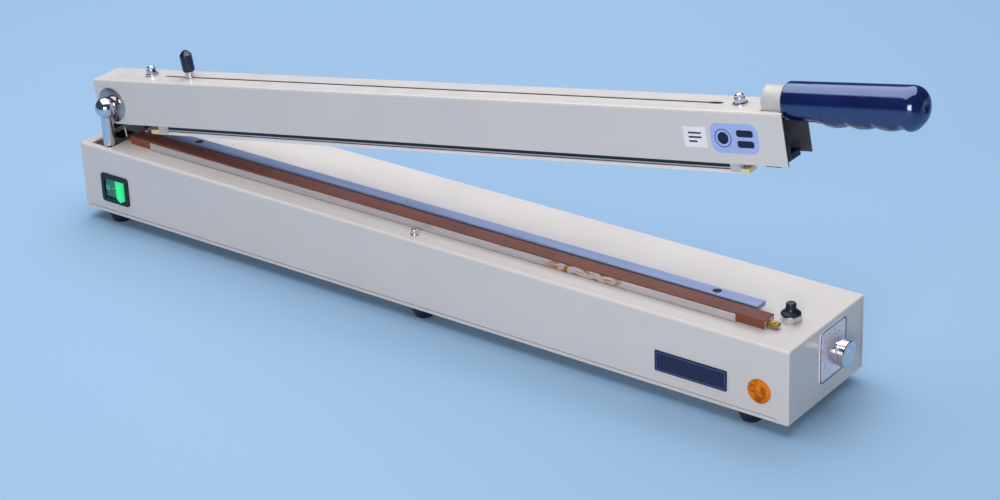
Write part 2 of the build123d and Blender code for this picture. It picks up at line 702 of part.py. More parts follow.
with BuildPart() as button_boot:
    with BuildSketch(Plane.XZ.offset(-button_y)):
        with BuildLine():
            Polyline((button_x + 4.0, boot_foot), (button_x + 7.6, boot_foot),
                     (button_x + 7.6, boot_foot + 1.4), (button_x + 5.4, boot_foot + 3.0),
                     (button_x + 4.1, boot_foot + 4.6), (button_x + 3.8, button_top - 0.8),
                     (button_x + 3.0, button_top), (button_x, button_top),
                     (button_x, button_top - 1.2), (button_x + 1.8, button_top - 1.2),
                     (button_x + 1.8, bush_top + 1.5), (button_x + 4.0, bush_top + 0.3),
                     close=True)
        make_face()
    revolve(axis=Axis((button_x, button_y, 0), (0, 0, 1)))
keep(button_boot, "button_boot")

# Leads inside the casing, each one bent round wide corners
wire_radius = 1.3
lead_low = floor_plate_z + sheet + 8.0
lead_paths = [
    # transformer to the fixed end of the band
    ([(high[0] + 3.0, front + 35, lead_low + 20), (high[0] + 25.0, front + 32, lead_low + 24),
      (seal_end - 12, front + 27, lead_low + 22), (seal_end + 5, middle_y, lead_low + 28),
      (seal_end + 5, middle_y, deck_z - 6.2)], 8.0),
    # transformer to the sprung end of the band
    ([(core_low[0] - 3.0, front + 40, lead_low + 20), (core_low[0] - 40.0, front + 44, lead_low + 8),
      (left + 260.0, front + 40, lead_low), (left + 70.0, front + 30, lead_low + 12),
      (band_lead_xs[0] + 10.0, middle_y, lead_low + 32), (band_lead_xs[0] + 2.0, middle_y, deck_z - 3.0)],
     14.0),
    # mains inlet to the switch
    ([(gland_x, panel_y - 9.0, gland_z), (gland_x, panel_y - 34.0, gland_z),
      (switch_x + 14.0, front + 56, switch_z + 2), (switch_x + 8, front + 33.0, switch_z)], 12.0),
    # switch to the transformer
    ([(switch_x - 8 + 16.0, front + 36.0, switch_z - 6), (left + 90.0, front + 60, lead_low + 6),
      (left + 300.0, front + 70, lead_low), (core_low[0] - 30.0, front + 66, lead_low + 10),
      (core_low[0] - 3.0, front + 60, lead_low + 14)], 16.0),
]
with BuildPart() as wiring:
    for points, bend_radius in lead_paths:
        with BuildLine():
            route = FilletPolyline(*points, radius=bend_radius)
        with BuildSketch(Plane(origin=route @ 0, z_dir=route % 0)):
            Circle(wire_radius)
        sweep(path=route)
keep(wiring, "wiring")

# ================================================================ pressing arm
slot_ends = (55.5, 614.0)
sleeve_start = 657.7
sleeve_radius = 11.7
grip_ends = (675.2, 783.2)
grip_start_radius = 14.2
grip_end_radius = 14.9
half_width = arm_width / 2
inner_half = half_width - sheet

with BuildPart() as arm_channel:
    with BuildSketch(arm_section(arm_start)):
        with Locations((0, (arm_top + arm_bottom) / 2)):
            Rectangle(arm_width, arm_top - arm_bottom)
    extrude(amount=arm_end - arm_start)
    long_edges = arm_channel.edges().filter_by(lambda e: abs(e.length - (arm_end - arm_start)) < 0.01)
    fillet(long_edges.group_by(SortBy.LENGTH)[0].filter_by(
        lambda e: arm_plane.to_local_coords(e.center()).Z > 0), 1.8)
    with BuildSketch(arm_section(arm_start + sheet)):
        with Locations((0, (arm_top - sheet + arm_bottom - 1) / 2)):
            Rectangle(2 * inner_half, arm_top - sheet - arm_bottom + 1)
    extrude(amount=arm_end - arm_start, mode=Mode.SUBTRACT)
    # cut-back lower corner at the hinge end
    with BuildSketch(arm_side(0)):
        with BuildLine():
            Polyline((arm_start - 1, -1.0), (arm_start - 1, arm_bottom - 1), (-1.0, arm_bottom - 1),
                     close=True)
        make_face()
    extrude(amount=half_width + 1, both=True, mode=Mode.SUBTRACT)
    # knife slot, its wider threading hole, the hanger holes and the notch for the handle
    with BuildSketch(arm_level(arm_top)):
        with Locations(((slot_ends[0] + slot_ends[1]) / 2, 0)):
            SlotOverall(slot_ends[1] - slot_ends[0], knife_slot)
        with Locations((slot_ends[1] - 0.5, 0)):
            SlotOverall(12.0, 4.6)
        with Locations(*[(u, 0) for u in nut_stations]):
            Circle(2.6)
        with Locations(((sleeve_start + arm_end) / 2, 0)):
            Rectangle(arm_end - sleeve_start + 0.6, 2 * sleeve_radius + 0.6)
        with Locations(((grip_ends[0] + arm_end) / 2, 0)):
            Rectangle(arm_end - grip_ends[0] + 1.0, 2 * grip_start_radius + 0.8)
    extrude(amount=-3 * sheet, mode=Mode.SUBTRACT)
    # holes for the hinge axle and the spring pin
    with BuildSketch(arm_side(0)):
        Circle(axle_radius)
        with Locations(tail_pin):
            Circle(pin_radius)
    extrude(amount=half_width + 1, both=True, mode=Mode.SUBTRACT)
keep(arm_channel, "arm_channel")

with BuildPart() as pivot_axle:
    with BuildSketch(facing_front(arm_y)):
        with Locations((hinge_x, hinge_z)):
            Circle(axle_radius)
    extrude(amount=axle_reach, both=True)
keep(pivot_axle, "pivot_axle")

disc_radius = 15.3
disc_thickness = ball_flat - half_width - 0.2
with BuildPart() as pivot_discs:
    for side in (-1, 1):
        wall = arm_y + side * half_width
        with BuildSketch(Plane(origin=(hinge_x, wall, hinge_z), x_dir=(1, 0, 0), z_dir=(0, 0, 1))):
            with BuildLine():
                dome = ThreePointArc((disc_radius, side * 0.7), (disc_radius * 0.72, side * 1.6),
                                     (5.0, side * disc_thickness))
                Polyline(dome @ 1, (axle_radius, side * disc_thickness), (axle_radius, 0),
                         (disc_radius, 0), dome @ 0)
            make_face()
        revolve(axis=Axis((hinge_x, wall, hinge_z), (0, 1, 0)))
keep(pivot_discs, "pivot_discs")

with BuildPart() as spring_pin:
    with BuildSketch(arm_side(0)):
        with Locations(tail_pin):
            Circle(pin_radius)
    extrude(amount=half_width, both=True)
keep(spring_pin, "spring_pin")

with BuildPart(arm_plane) as arm_stop:
    rod_u = (stop_height - hinge_z) * along[2]
    rod_w = (stop_height - hinge_z) * across[2]
    face_u = rod_u - stop_radius - slip
    lug_top = tail_pin[1] - pin_radius - slip
    for side in (-1, 1):
        near, far = sorted((side * 5.0, side * inner_half))
        block((face_u - 3.0, near, rod_w - 3.0), (face_u, far, lug_top))
        block((face_u, near, lug_top - 4.4), (3.0, far, lug_top))
keep(arm_stop, "arm_stop")

# ================================================================ handle
bracket_start = 640.0
bracket_end = 679.6
bracket_bottom = -13.5
bracket_sheet = 1.6
bracket_nose = 674.0               # the bracket's end slopes back to here, below the grip
tube_radius = 8.0
tube_start = sleeve_start - 13.0
saddle_top = 20.0

with BuildPart(arm_plane) as handle_bracket:
    with BuildSketch(arm_side(-inner_half)):
        with BuildLine():
            Polyline((bracket_start, bracket_bottom), (bracket_end, bracket_bottom), (bracket_end, -3.0),
                     (bracket_nose, 19.0), (bracket_start, 19.0), close=True)
        make_face()
    extrude(amount=-bracket_sheet)
    corner = handle_bracket.edges().filter_by(Axis.Y).sort_by(Axis.Z)[:2].sort_by(Axis.X)[-1]
    fillet(corner, 3.0)
    # saddle block that the handle tube is clamped in
    block((tube_start - 0.5, bracket_sheet - inner_half, 12.0), (tube_start + 10.5, inner_half, saddle_top))
    with Locations(Location((tube_start - 1.5, 0, handle_axis), (0, 90, 0))):
        stand(tube_radius, 13.0, mode=Mode.SUBTRACT)
keep(handle_bracket, "handle_bracket")

with BuildPart() as handle_tube:
    with BuildSketch(arm_section(tube_start)):
        with Locations((0, handle_axis)):
            Circle(tube_radius)
            Circle(tube_radius - 1.5, mode=Mode.SUBTRACT)
    extrude(amount=112.0)
    # the stretch inside the arm is cut away above the saddle, under the top plate
    with BuildSketch(arm_section(tube_start - 1.0)):
        with Locations((0, saddle_top)):
            Rectangle(20.0, 20.0, align=(Align.CENTER, Align.MIN))
    extrude(amount=14.4, mode=Mode.SUBTRACT)
keep(handle_tube, "handle_tube")

with BuildPart() as handle_sleeve:
    with BuildSketch(arm_section(sleeve_start + 0.4)):
        with Locations((0, handle_axis)):
            Circle(sleeve_radius)
            Circle(tube_radius, mode=Mode.SUBTRACT)
    extrude(amount=grip_ends[0] - sleeve_start + 4.0)
    rim = handle_sleeve.edges().filter_by(GeomType.CIRCLE).sort_by(Axis.X)[:2].sort_by(SortBy.RADIUS)[-1]
    fillet(rim, 1.6)
keep(handle_sleeve, "handle_sleeve")

finger_us = (714.0, 734.8, 755.6, 776.4)
finger_radius = 12.4
finger_drop = 18.2                 # lowest reach of the finger ribs below the handle's axis
with BuildPart() as handle_grip:
    with BuildSketch(arm_side(0)):
        with BuildLine():
            base_line = handle_axis
            Polyline((grip_ends[0], base_line), (grip_ends[0], base_line + grip_start_radius - 2.0),
                     (grip_ends[0] + 2.0, base_line + grip_start_radius),
                     (grip_ends[1] - 9.0, base_line + grip_end_radius))
            ThreePointArc((grip_ends[1] - 9.0, base_line + grip_end_radius),
                          (grip_ends[1] - 2.4, base_line + grip_end_radius - 3.2),
                          (grip_ends[1], base_line + grip_end_radius - 9.0))
            Polyline((grip_ends[1], base_line + grip_end_radius - 9.0), (grip_ends[1], base_line),
                     (grip_ends[0], base_line))
        make_face()
    revolve(axis=Axis(arm_plane.from_local_coords((0, 0, handle_axis)), along))
    # finger ribs along the underside
    for u in finger_us:
        spot = arm_plane.from_local_coords((u, 0, handle_axis - finger_drop + finger_radius))
        with Locations(Plane(origin=spot, x_dir=along, z_dir=across)):
            Sphere(finger_radius)
    # the last rib ends with the grip
    with Locations(Plane(origin=arm_plane.from_local_coords((grip_ends[1], 0, 0)), x_dir=along, z_dir=across)):
        Box(20.0, 60.0, 120.0, align=(Align.MIN, Align.CENTER, Align.CENTER), mode=Mode.SUBTRACT)
    # bore that fits over the tube and the end of the sleeve
    with Locations(arm_section(grip_ends[0] - 1)):
        with Locations((0, handle_axis)):
            stand(tube_radius, 98.0, mode=Mode.SUBTRACT)
            stand(sleeve_radius, 5.4, mode=Mode.SUBTRACT)
keep(handle_grip, "handle_grip")

with BuildPart(arm_plane) as button_pad:
    pad_middle = button_x - hinge_x
    block((pad_middle - 1.0, -inner_half, arm_bottom - 1.2),
          (pad_middle + 11.6, inner_half - 4, bracket_bottom))
    fillet(button_pad.edges().filter_by(Axis.Y), 0.5)
keep(button_pad, "button_pad")

# ================================================================ pressing bar, hung in the arm
bar_front = seal_front + 0.5 - arm_y
bar_back = seal_front + seal_width - 0.5 - arm_y
bar_ends = (47.0, 637.0)
profile_ends = (59.0, 627.4)
lip_level = arm_bottom - 1.1       # lower edge of the profile's upper lip
groove_level = arm_bottom - 3.6
profile_bottom = arm_bottom - 4.4
tape_bottom = profile_bottom - 1.1
rubber_bottom = seal_top + slip - hinge_z

with BuildPart(arm_plane) as pressure_bar:
    block((bar_ends[0], bar_front, profile_bottom), (bar_ends[1], bar_back, arm_bottom + 5.0))
    block((bar_ends[0], bar_front, groove_level), (bar_ends[1], bar_front + 2.5, lip_level),
          mode=Mode.SUBTRACT)
    # room for the hanger studs
    with BuildSketch(arm_level(arm_bottom + 5.0)):
        with Locations(*[(u, 0) for u in nut_stations]):
            Circle(2.4)
    extrude(amount=-4.0, mode=Mode.SUBTRACT)
keep(pressure_bar, "pressure_bar")

with BuildPart(arm_plane) as bar_insert:
    block((profile_ends[0], bar_front + 0.7, groove_level), (profile_ends[1], bar_front + 2.5, lip_level))
keep(bar_insert, "bar_insert")

with BuildPart(arm_plane) as upper_ptfe_strip:
    block((profile_ends[0], bar_front + 0.2, tape_bottom), (profile_ends[1], bar_back, profile_bottom))
keep(upper_ptfe_strip, "upper_ptfe_strip")

with BuildPart(arm_plane) as silicone_strip:
    silicone_ends = (38.0, 642.2)
    block((silicone_ends[0], bar_front + 0.1, rubber_bottom), (silicone_ends[1], bar_back - 0.6, tape_bottom))
    for low_u, high_u in ((silicone_ends[0], profile_ends[0]), (profile_ends[1], silicone_ends[1])):
        block((low_u, bar_front + 0.1, tape_bottom), (high_u, bar_back - 0.6, profile_bottom))
    lower = silicone_strip.edges().filter_by(lambda e: e.length > 600).filter_by(
        lambda e: arm_plane.to_local_coords(e.center()).Z < rubber_bottom + 0.1)
    fillet(lower, 0.9)
    tip = silicone_strip.edges().filter_by(lambda e: e.length < 5).filter_by(
        lambda e: arm_plane.to_local_coords(e.center()).X > silicone_ends[1] - 0.01).filter_by(
        lambda e: abs((e % 0.5).Y) < 0.01)
    fillet(tip, 1.6)
keep(silicone_strip, "silicone_strip")

with BuildPart(arm_plane) as bar_end_caps:
    cap_skin = 0.45
    for low_u, high_u in ((bar_ends[0] + 1.0, profile_ends[0]), (profile_ends[1], bar_ends[1] - 1.0)):
        block((low_u, bar_front - cap_skin, profile_bottom - 2.6), (high_u, bar_front, arm_bottom + 1.0))
        block((low_u, bar_front, groove_level), (high_u, bar_front + 2.5, lip_level))
keep(bar_end_caps, "bar_end_caps")

washer_stack = 1.1
stud_radius_m5 = 2.4
foot_level = arm_bottom + 2.0
with BuildPart(arm_plane) as hanger_studs:
    for u in nut_stations:
        with Locations((u, 0, foot_level)):
            stand(stud_radius_m5, arm_top + washer_stack + 3.0 - arm_bottom)
        # foot that is welded to the stud and to the back of the bar
        block((u - 8.0, bar_back, foot_level), (u + 8.0, 6.0, foot_level + 3.0))
keep(hanger_studs, "hanger_studs")

with BuildPart(arm_plane) as stud_washers:
    for u, layers in zip(nut_stations, (2, 1)):
        for layer in range(layers):
            with Locations((u, 0, arm_top + 0.02 + layer * washer_stack)):
                Cylinder(5.7 - 0.5 * layer, washer_stack - 0.1,
                         align=(Align.CENTER, Align.CENTER, Align.MIN))
        with Locations((u, 0, arm_top)):
            stand(stud_radius_m5, 6.0, mode=Mode.SUBTRACT)
keep(stud_washers, "stud_washers")

nut_dome = 3.4
with BuildPart(arm_plane) as acorn_nuts:
    for u, layers in zip(nut_stations, (2, 1)):
        foot = arm_top + layers * washer_stack
        with BuildSketch(arm_level(foot)):
            with Locations((u, 0)):
                RegularPolygon(4.5, 6, rotation=10)
        extrude(amount=3.6)
        with Locations((u, 0, foot + 3.0)):
            stand(nut_dome, 2.6)
        with Locations((u, 0, foot + 5.6)):
            Sphere(nut_dome, arc_size1=0)
        with Locations((u, 0, foot)):
            Cylinder(stud_radius_m5, arm_top + washer_stack + 5.0 - foot,
                     align=(Align.CENTER, Align.CENTER, Align.MIN), mode=Mode.SUBTRACT)
keep(acorn_nuts, "acorn_nuts")

bar_spring_foot = arm_bottom + 5.3
bar_spring_height = arm_top - sheet - bar_spring_foot - 1.4
with BuildPart() as bar_springs:
    for u in nut_stations:
        with BuildLine():
            bar_coil = Helix(pitch=bar_spring_height / 9, height=bar_spring_height, radius=4.0,
                             center=arm_plane.from_local_coords((u, 0, bar_spring_foot + 0.6)),
                             direction=across)
        with BuildSketch(Plane(origin=bar_coil @ 0, z_dir=bar_coil % 0)):
            Circle(0.5)
        sweep(path=bar_coil, is_frenet=True)
keep(bar_springs, "bar_springs")

# ================================================================ knife
blade_half = 0.3
neck_half = 1.1
with BuildPart(arm_plane) as knife_carriage:
    block((knife_station - 14, -5.5, 8.0), (knife_station + 14, 5.5, arm_top - sheet - slip))
    block((knife_station - 2.4, -neck_half, 18.0), (knife_station + 2.4, neck_half, arm_top + 1.0))
    with Locations((knife_station, 0, arm_top + slip)):
        stand(3.7, 5.2)
        stand(2.4, 16.0)
    # saw cut that grips the blade
    block((knife_station - 14, -blade_half, 8.0), (knife_station + 14, blade_half, 15.0),
          mode=Mode.SUBTRACT)
keep(knife_carriage, "knife_carriage")

blade_tip = deck_z + 3.6 - hinge_z
with BuildPart() as knife_blade:
    with BuildSketch(arm_side(blade_half)):
        with BuildLine():
            Polyline((knife_station - 5, 15.0), (knife_station + 7, 15.0),
                     (knife_station + 7, blade_tip + 7.0), (knife_station + 1, blade_tip),
                     (knife_station - 5, blade_tip + 7.0), close=True)
        make_face()
    extrude(amount=2 * blade_half)
keep(knife_blade, "knife_blade")

knob_foot = arm_top + slip + 5.2
with BuildPart(arm_plane) as cutter_knob:
    with Locations((knife_station, 0, knob_foot)):
        stand(4.7, 1.2)
    with Locations((knife_station, 0, knob_foot + 1.2)):
        stand(5.3, 13.2)
    with Locations((knife_station, 0, knob_foot + 14.4)):
        Cone(5.3, 2.2, 3.6, align=(Align.CENTER, Align.CENTER, Align.MIN))
    with Locations((knife_station, 0, knob_foot)):
        stand(2.4, 10.8, mode=Mode.SUBTRACT)
keep(cutter_knob, "cutter_knob")
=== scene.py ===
import json
from math import cos, pi, radians, sin, tan

import bmesh
import bpy
from mathutils import Matrix, Vector


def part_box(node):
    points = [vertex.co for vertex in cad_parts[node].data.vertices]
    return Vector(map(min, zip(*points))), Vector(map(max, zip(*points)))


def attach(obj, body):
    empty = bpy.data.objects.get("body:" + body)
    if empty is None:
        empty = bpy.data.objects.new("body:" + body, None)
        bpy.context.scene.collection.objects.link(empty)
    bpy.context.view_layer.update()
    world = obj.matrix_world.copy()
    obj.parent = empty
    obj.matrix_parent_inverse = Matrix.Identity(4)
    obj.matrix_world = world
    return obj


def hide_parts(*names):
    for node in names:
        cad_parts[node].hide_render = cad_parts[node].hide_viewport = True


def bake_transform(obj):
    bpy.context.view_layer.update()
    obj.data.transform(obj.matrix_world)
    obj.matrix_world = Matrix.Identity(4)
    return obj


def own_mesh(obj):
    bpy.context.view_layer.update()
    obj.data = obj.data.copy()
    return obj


# Impulse heat sealer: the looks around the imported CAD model. Lengths are in metres, in the CAD's frame.

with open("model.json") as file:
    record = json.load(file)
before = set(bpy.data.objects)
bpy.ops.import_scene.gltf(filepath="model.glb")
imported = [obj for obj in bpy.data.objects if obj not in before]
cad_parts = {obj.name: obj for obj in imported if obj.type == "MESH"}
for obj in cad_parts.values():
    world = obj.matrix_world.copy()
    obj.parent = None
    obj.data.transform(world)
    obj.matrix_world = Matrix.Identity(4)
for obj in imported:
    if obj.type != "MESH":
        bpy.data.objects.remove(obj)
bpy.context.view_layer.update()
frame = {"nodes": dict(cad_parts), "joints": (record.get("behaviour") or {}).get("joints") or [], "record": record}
nodes = frame["nodes"]
joints = {joint["name"]: joint for joint in frame["joints"]}
MM = 0.001

# ------------------------------------------------------------------ places, worked out from the frame
hinge = Vector(joints["arm_hinge"]["pos_m"])
along = Vector(joints["knife_slide"]["axis"])            # along the open arm, towards the handle
across = Vector(joints["bar_float"]["axis"])             # up, square to the open arm
arm_frame = Matrix.Translation(hinge) @ Matrix((along, (0, 1, 0), across)).transposed().to_4x4()
front_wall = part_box("arm_channel")[0].y - hinge.y        # outer face of the arm's front wall
housing_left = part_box("housing")[0].x


def at(point, place=None):
    """A point of a local frame in metres, from millimetres; with no frame, of the CAD's own frame."""
    spot = Vector(point) * MM
    return place @ spot if place else spot


# ------------------------------------------------------------------ node helpers for the materials
class Finish:
    """A principled material and short ways to add procedural detail to it."""

    def __init__(self, name, colour, roughness, metallic=0.0, **sockets):
        self.material = bpy.data.materials.new(name)
        self.material.use_nodes = True
        self.tree = self.material.node_tree
        self.shader = self.tree.nodes["Principled BSDF"]
        self.coords = self.tree.nodes.new("ShaderNodeTexCoord").outputs["Object"]
        self.colour = colour
        self.set("Base Color", (*colour, 1.0))
        self.set("Roughness", roughness)
        self.set("Metallic", metallic)
        for socket, value in sockets.items():
            self.set(socket.replace("_", " "), value)
        self.heights = []

    def set(self, socket, value):
        self.shader.inputs[socket].default_value = value

    def link(self, output, target):
        self.tree.links.new(output, target)

    def node(self, kind, **values):
        made = self.tree.nodes.new("ShaderNode" + kind)
        for key, value in values.items():
            if key in made.inputs:
                made.inputs[key].default_value = value
            else:
                setattr(made, key, value)
        return made

    def stretched(self, scale):
        """Object coordinates, scaled by axis."""
        mapping = self.node("Mapping")
        mapping.inputs["Scale"].default_value = scale
        self.link(self.coords, mapping.inputs["Vector"])
        return mapping.outputs["Vector"]

    def noise(self, scale, detail=3.0, stretch=None):
        made = self.node("TexNoise", Scale=scale, Detail=detail)
        self.link(self.stretched(stretch) if stretch else self.coords, made.inputs["Vector"])
        return made.outputs["Fac"]

    def cells(self, scale, stretch=None):
        made = self.node("TexVoronoi", Scale=scale)
        self.link(self.stretched(stretch) if stretch else self.coords, made.inputs["Vector"])
        return made.outputs["Distance"]

    def ramp(self, value, *stops):
        """Maps a value to colours or greys: each stop is (position, colour or grey)."""
        made = self.node("ValToRGB")
        elements = made.color_ramp.elements
        while len(elements) < len(stops):
            elements.new(0.5)
        for element, (position, colour) in zip(elements, stops):
            element.position = position
            element.color = (*colour, 1.0) if isinstance(colour, tuple) else (colour, colour, colour, 1.0)
        self.link(value, made.inputs["Fac"])
        return made.outputs["Color"]

    def span(self, value, low, high, out_low=0.0, out_high=1.0):
        """Remaps a value smoothly from one range to another."""
        made = self.node("MapRange", interpolation_type="SMOOTHSTEP")
        for key, number in zip(("From Min", "From Max", "To Min", "To Max"), (low, high, out_low, out_high)):
            made.inputs[key].default_value = number
        self.link(value, made.inputs["Value"])
        return made.outputs["Result"]

    def axis(self, letter):
        """One object coordinate."""
        split = self.node("SeparateXYZ")
        self.link(self.coords, split.inputs["Vector"])
        return split.outputs[letter]

    def maths(self, operation, a, b):
        made = self.node("Math", operation=operation)
        for socket, value in zip(made.inputs, (a, b)):
            if isinstance(value, (int, float)):
                socket.default_value = value
            else:
                self.link(value, socket)
        return made.outputs["Value"]

    def mix(self, factor, a, b):
        """A colour between a and b, each a colour or another node's output."""
        made = self.node("Mix", data_type="RGBA")
        self.link(factor, made.inputs["Factor"])
        for socket, value in ((made.inputs[6], a), (made.inputs[7], b)):
            if isinstance(value, tuple):
                socket.default_value = (*value, 1.0)
            else:
                self.link(value, socket)
        return made.outputs[2]

    def tint(self, output):
        self.link(output, self.shader.inputs["Base Color"])

    def mottle(self, scale, amount, detail=4.0, stretch=None):
        """Varies the base colour a little, lighter and darker."""
        light = tuple(min(1.0, c * (1 + amount)) for c in self.colour)
        dark = tuple(c * (1 - amount) for c in self.colour)
        varied = self.ramp(self.noise(scale, detail, stretch), (0.3, dark), (0.7, light))
        self.tint(varied)
        return varied

    def smudge(self, scale, low, high, stretch=None):
        """Varies the roughness between two values."""
        varied = self.span(self.noise(scale, 4.0, stretch), 0.3, 0.7, low, high)
        self.link(varied, self.shader.inputs["Roughness"])

    def relief(self, height, distance, strength=1.0):
        """Adds a height, in metres at full scale, to the surface's bump."""
        bump = self.node("Bump", Strength=strength, Distance=distance)
        self.link(height, bump.inputs["Height"])
        if self.heights:
            self.link(self.heights[-1], bump.inputs["Normal"])
        self.heights.append(bump.outputs["Normal"])
        self.link(bump.outputs["Normal"], self.shader.inputs["Normal"])


# ------------------------------------------------------------------ finishes, one function each
def enamel():
    made = Finish("cream_enamel", (0.625, 0.605, 0.585), 0.4, Coat_Weight=0.2, Coat_Roughness=0.25)
    plain = made.mottle(14.0, 0.025)
    # the inside of the arm's channel is painted near black: painted shade for its unlit interior
    depth = made.maths("ADD", made.maths("MULTIPLY", made.axis("X"), across.x),
                       made.maths("MULTIPLY", made.axis("Z"), across.z))
    under_top = 0.0217                                   # from the hinge up to the arm's top sheet
    channel_depth = 0.045
    edge = 0.0002                                        # width of the soft step into the painted shade
    skin_level = hinge.dot(across) + under_top
    channel_low = skin_level - channel_depth
    inner_half = -front_wall - 2 * edge
    sideways = made.maths("ABSOLUTE", made.maths("SUBTRACT", made.axis("Y"), hinge.y), 0.0)
    inside = made.maths("MULTIPLY", made.span(depth, skin_level - edge, skin_level, 1.0, 0.0),
                        made.span(sideways, inner_half - edge, inner_half, 1.0, 0.0))
    painted_shade_in_arm = made.maths("MULTIPLY", inside, made.span(depth, channel_low, channel_low + 0.001))
    # painted shade: the inside of the arm's channel is tinted near black
    made.tint(made.mix(painted_shade_in_arm, plain, (0.05, 0.052, 0.06)))
    made.smudge(60.0, 0.33, 0.45)
    made.relief(made.noise(900.0, 2.0), 0.00005, 0.35)
    made.relief(made.noise(7.0, 1.0), 0.0006, 0.15)
    return made


def black_enamel():
    made = Finish("black_enamel", (0.012, 0.012, 0.014), 0.42)
    made.mottle(40.0, 0.3)
    made.smudge(90.0, 0.36, 0.52)
    made.relief(made.noise(1100.0, 2.0), 0.00006, 0.4)
    return made


def plated(name, colour, low, high, lines=None):
    """A bright metal plating with faint smudges, and with turning or drawing lines."""
    made = Finish(name, colour, low, 1.0)
    made.mottle(120.0, 0.05)
    made.smudge(180.0, low, high)
    if lines:
        made.relief(made.noise(260.0, 2.0, stretch=lines), 0.00003, 0.5)
    return made


def rail_alloy():
    """Satin rail metal, tinted blue as a painted reflection of blue surroundings, with painted shade in the
    countersinks of its screws.
    """
    # the blue base and streak colours are a painted reflection of the blue surroundings
    made = Finish("anodised_rail", (0.26, 0.33, 0.54), 0.36, 0.6)
    streaks = made.noise(1.0, 5.0, stretch=(6.0, 1800.0, 1800.0))
    plain = made.ramp(streaks, (0.35, (0.23, 0.30, 0.50)), (0.65, (0.29, 0.36, 0.57)))
    screws_low, screws_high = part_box("rail_screws")
    rail_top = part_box("cutting_rail")[1].z
    head_radius = 0.0033
    sink_radius = 0.0038
    edge = 0.0002
    below = made.span(made.axis("Z"), rail_top - 1.5 * edge, rail_top - 0.5 * edge, 1.0, 0.0)
    countersink_shade = None
    for centre_x in (screws_low.x + head_radius, screws_high.x - head_radius):
        off_x = made.maths("SUBTRACT", made.axis("X"), centre_x)
        off_y = made.maths("SUBTRACT", made.axis("Y"), (screws_low.y + screws_high.y) / 2)
        square = made.maths("ADD", made.maths("MULTIPLY", off_x, off_x), made.maths("MULTIPLY", off_y, off_y))
        near = made.span(square, sink_radius ** 2, (sink_radius + edge) ** 2, 1.0, 0.0)
        countersink_shade = near if countersink_shade is None else made.maths("ADD", countersink_shade, near)
    # painted shade: the countersinks below the rail's top are tinted near black
    made.tint(made.mix(made.maths("MULTIPLY", countersink_shade, below), plain, (0.01, 0.01, 0.015)))
    made.smudge(300.0, 0.32, 0.42, stretch=(0.05, 1.0, 1.0))
    made.relief(streaks, 0.00001, 0.4)
    return made


def bar_alloy():
    """Drawn aluminium, with an orange patch on the clamp strip at its own place along the bar."""
    made = Finish("bar_alloy", (0.72, 0.69, 0.69), 0.38, 0.85)
    streaks = made.noise(1.0, 5.0, stretch=(8.0, 1500.0, 1500.0))
    plain = made.ramp(streaks, (0.35, (0.62, 0.59, 0.60)), (0.65, (0.76, 0.73, 0.73)))
    orange_patch_start = housing_left + 0.470
    orange_patch_end = housing_left + 0.562
    position = made.axis("X")
    inside = made.maths("MULTIPLY", made.span(position, orange_patch_start, orange_patch_start + 0.03),
                        made.span(position, orange_patch_end - 0.02, orange_patch_end, 1.0, 0.0))
    blotches = made.span(made.noise(1.0, 4.0, stretch=(160.0, 380.0, 380.0)), 0.46, 0.56)
    strip_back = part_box("clamp_strip")[1].y
    on_strip = made.span(made.axis("Y"), strip_back - 0.0001, strip_back + 0.0003, 1.0, 0.0)
    mark = made.maths("MULTIPLY", made.maths("MULTIPLY", inside, blotches), on_strip)
    made.tint(made.mix(mark, plain, (0.46, 0.19, 0.02)))
    made.relief(streaks, 0.00003, 0.6)
    return made


def heat_tinted():
    made = Finish("heater_metal", (0.33, 0.27, 0.22), 0.35, 1.0)
    made.tint(made.ramp(made.noise(30.0, 3.0), (0.3, (0.20, 0.12, 0.09)), (0.7, (0.42, 0.37, 0.30))))
    made.relief(made.noise(600.0, 2.0), 0.00002, 0.5)
    return made


def brass():
    made = Finish("brass_fitting", (0.60, 0.40, 0.12), 0.34, 1.0)
    made.tint(made.ramp(made.noise(220.0, 4.0), (0.3, (0.40, 0.25, 0.08)), (0.7, (0.66, 0.46, 0.16))))
    made.smudge(400.0, 0.25, 0.5)
    made.relief(made.noise(900.0, 2.0), 0.00004, 0.5)
    return made


def glass_cloth():
    """Brown coated glass cloth: crossing threads under a thin film."""
    made = Finish("brown_cloth", (0.20, 0.066, 0.040), 0.42, Specular_IOR_Level=0.32)
    thread_spacing = 0.0004
    weave = []
    for letter in ("X", "Y"):
        phase = made.maths("MULTIPLY", made.axis(letter), pi / thread_spacing)
        wave = made.maths("SINE", phase, 0.0)
        weave.append(made.maths("MULTIPLY", wave, wave))
    threads = made.maths("MULTIPLY", *weave)
    ground = made.ramp(made.noise(16.0, 4.0), (0.3, (0.150, 0.048, 0.030)), (0.7, (0.230, 0.076, 0.044)))
    made.tint(made.mix(made.span(threads, 0.1, 0.9, 0.0, 0.35), ground, (0.13, 0.048, 0.034)))
    made.smudge(70.0, 0.34, 0.5)
    made.relief(threads, 0.00008, 0.5)
    made.relief(made.noise(60.0, 2.0, stretch=(0.3, 1.0, 1.0)), 0.0004, 0.3)
    return made


def moulded(name, colour, low, high, grain=1200.0, **sockets):
    """Moulded plastic or rubber with a fine spark-eroded grain."""
    made = Finish(name, colour, low, **sockets)
    made.mottle(90.0, 0.10)
    made.smudge(150.0, low, high)
    made.relief(made.noise(grain, 3.0), 0.00004, 0.4)
    return made


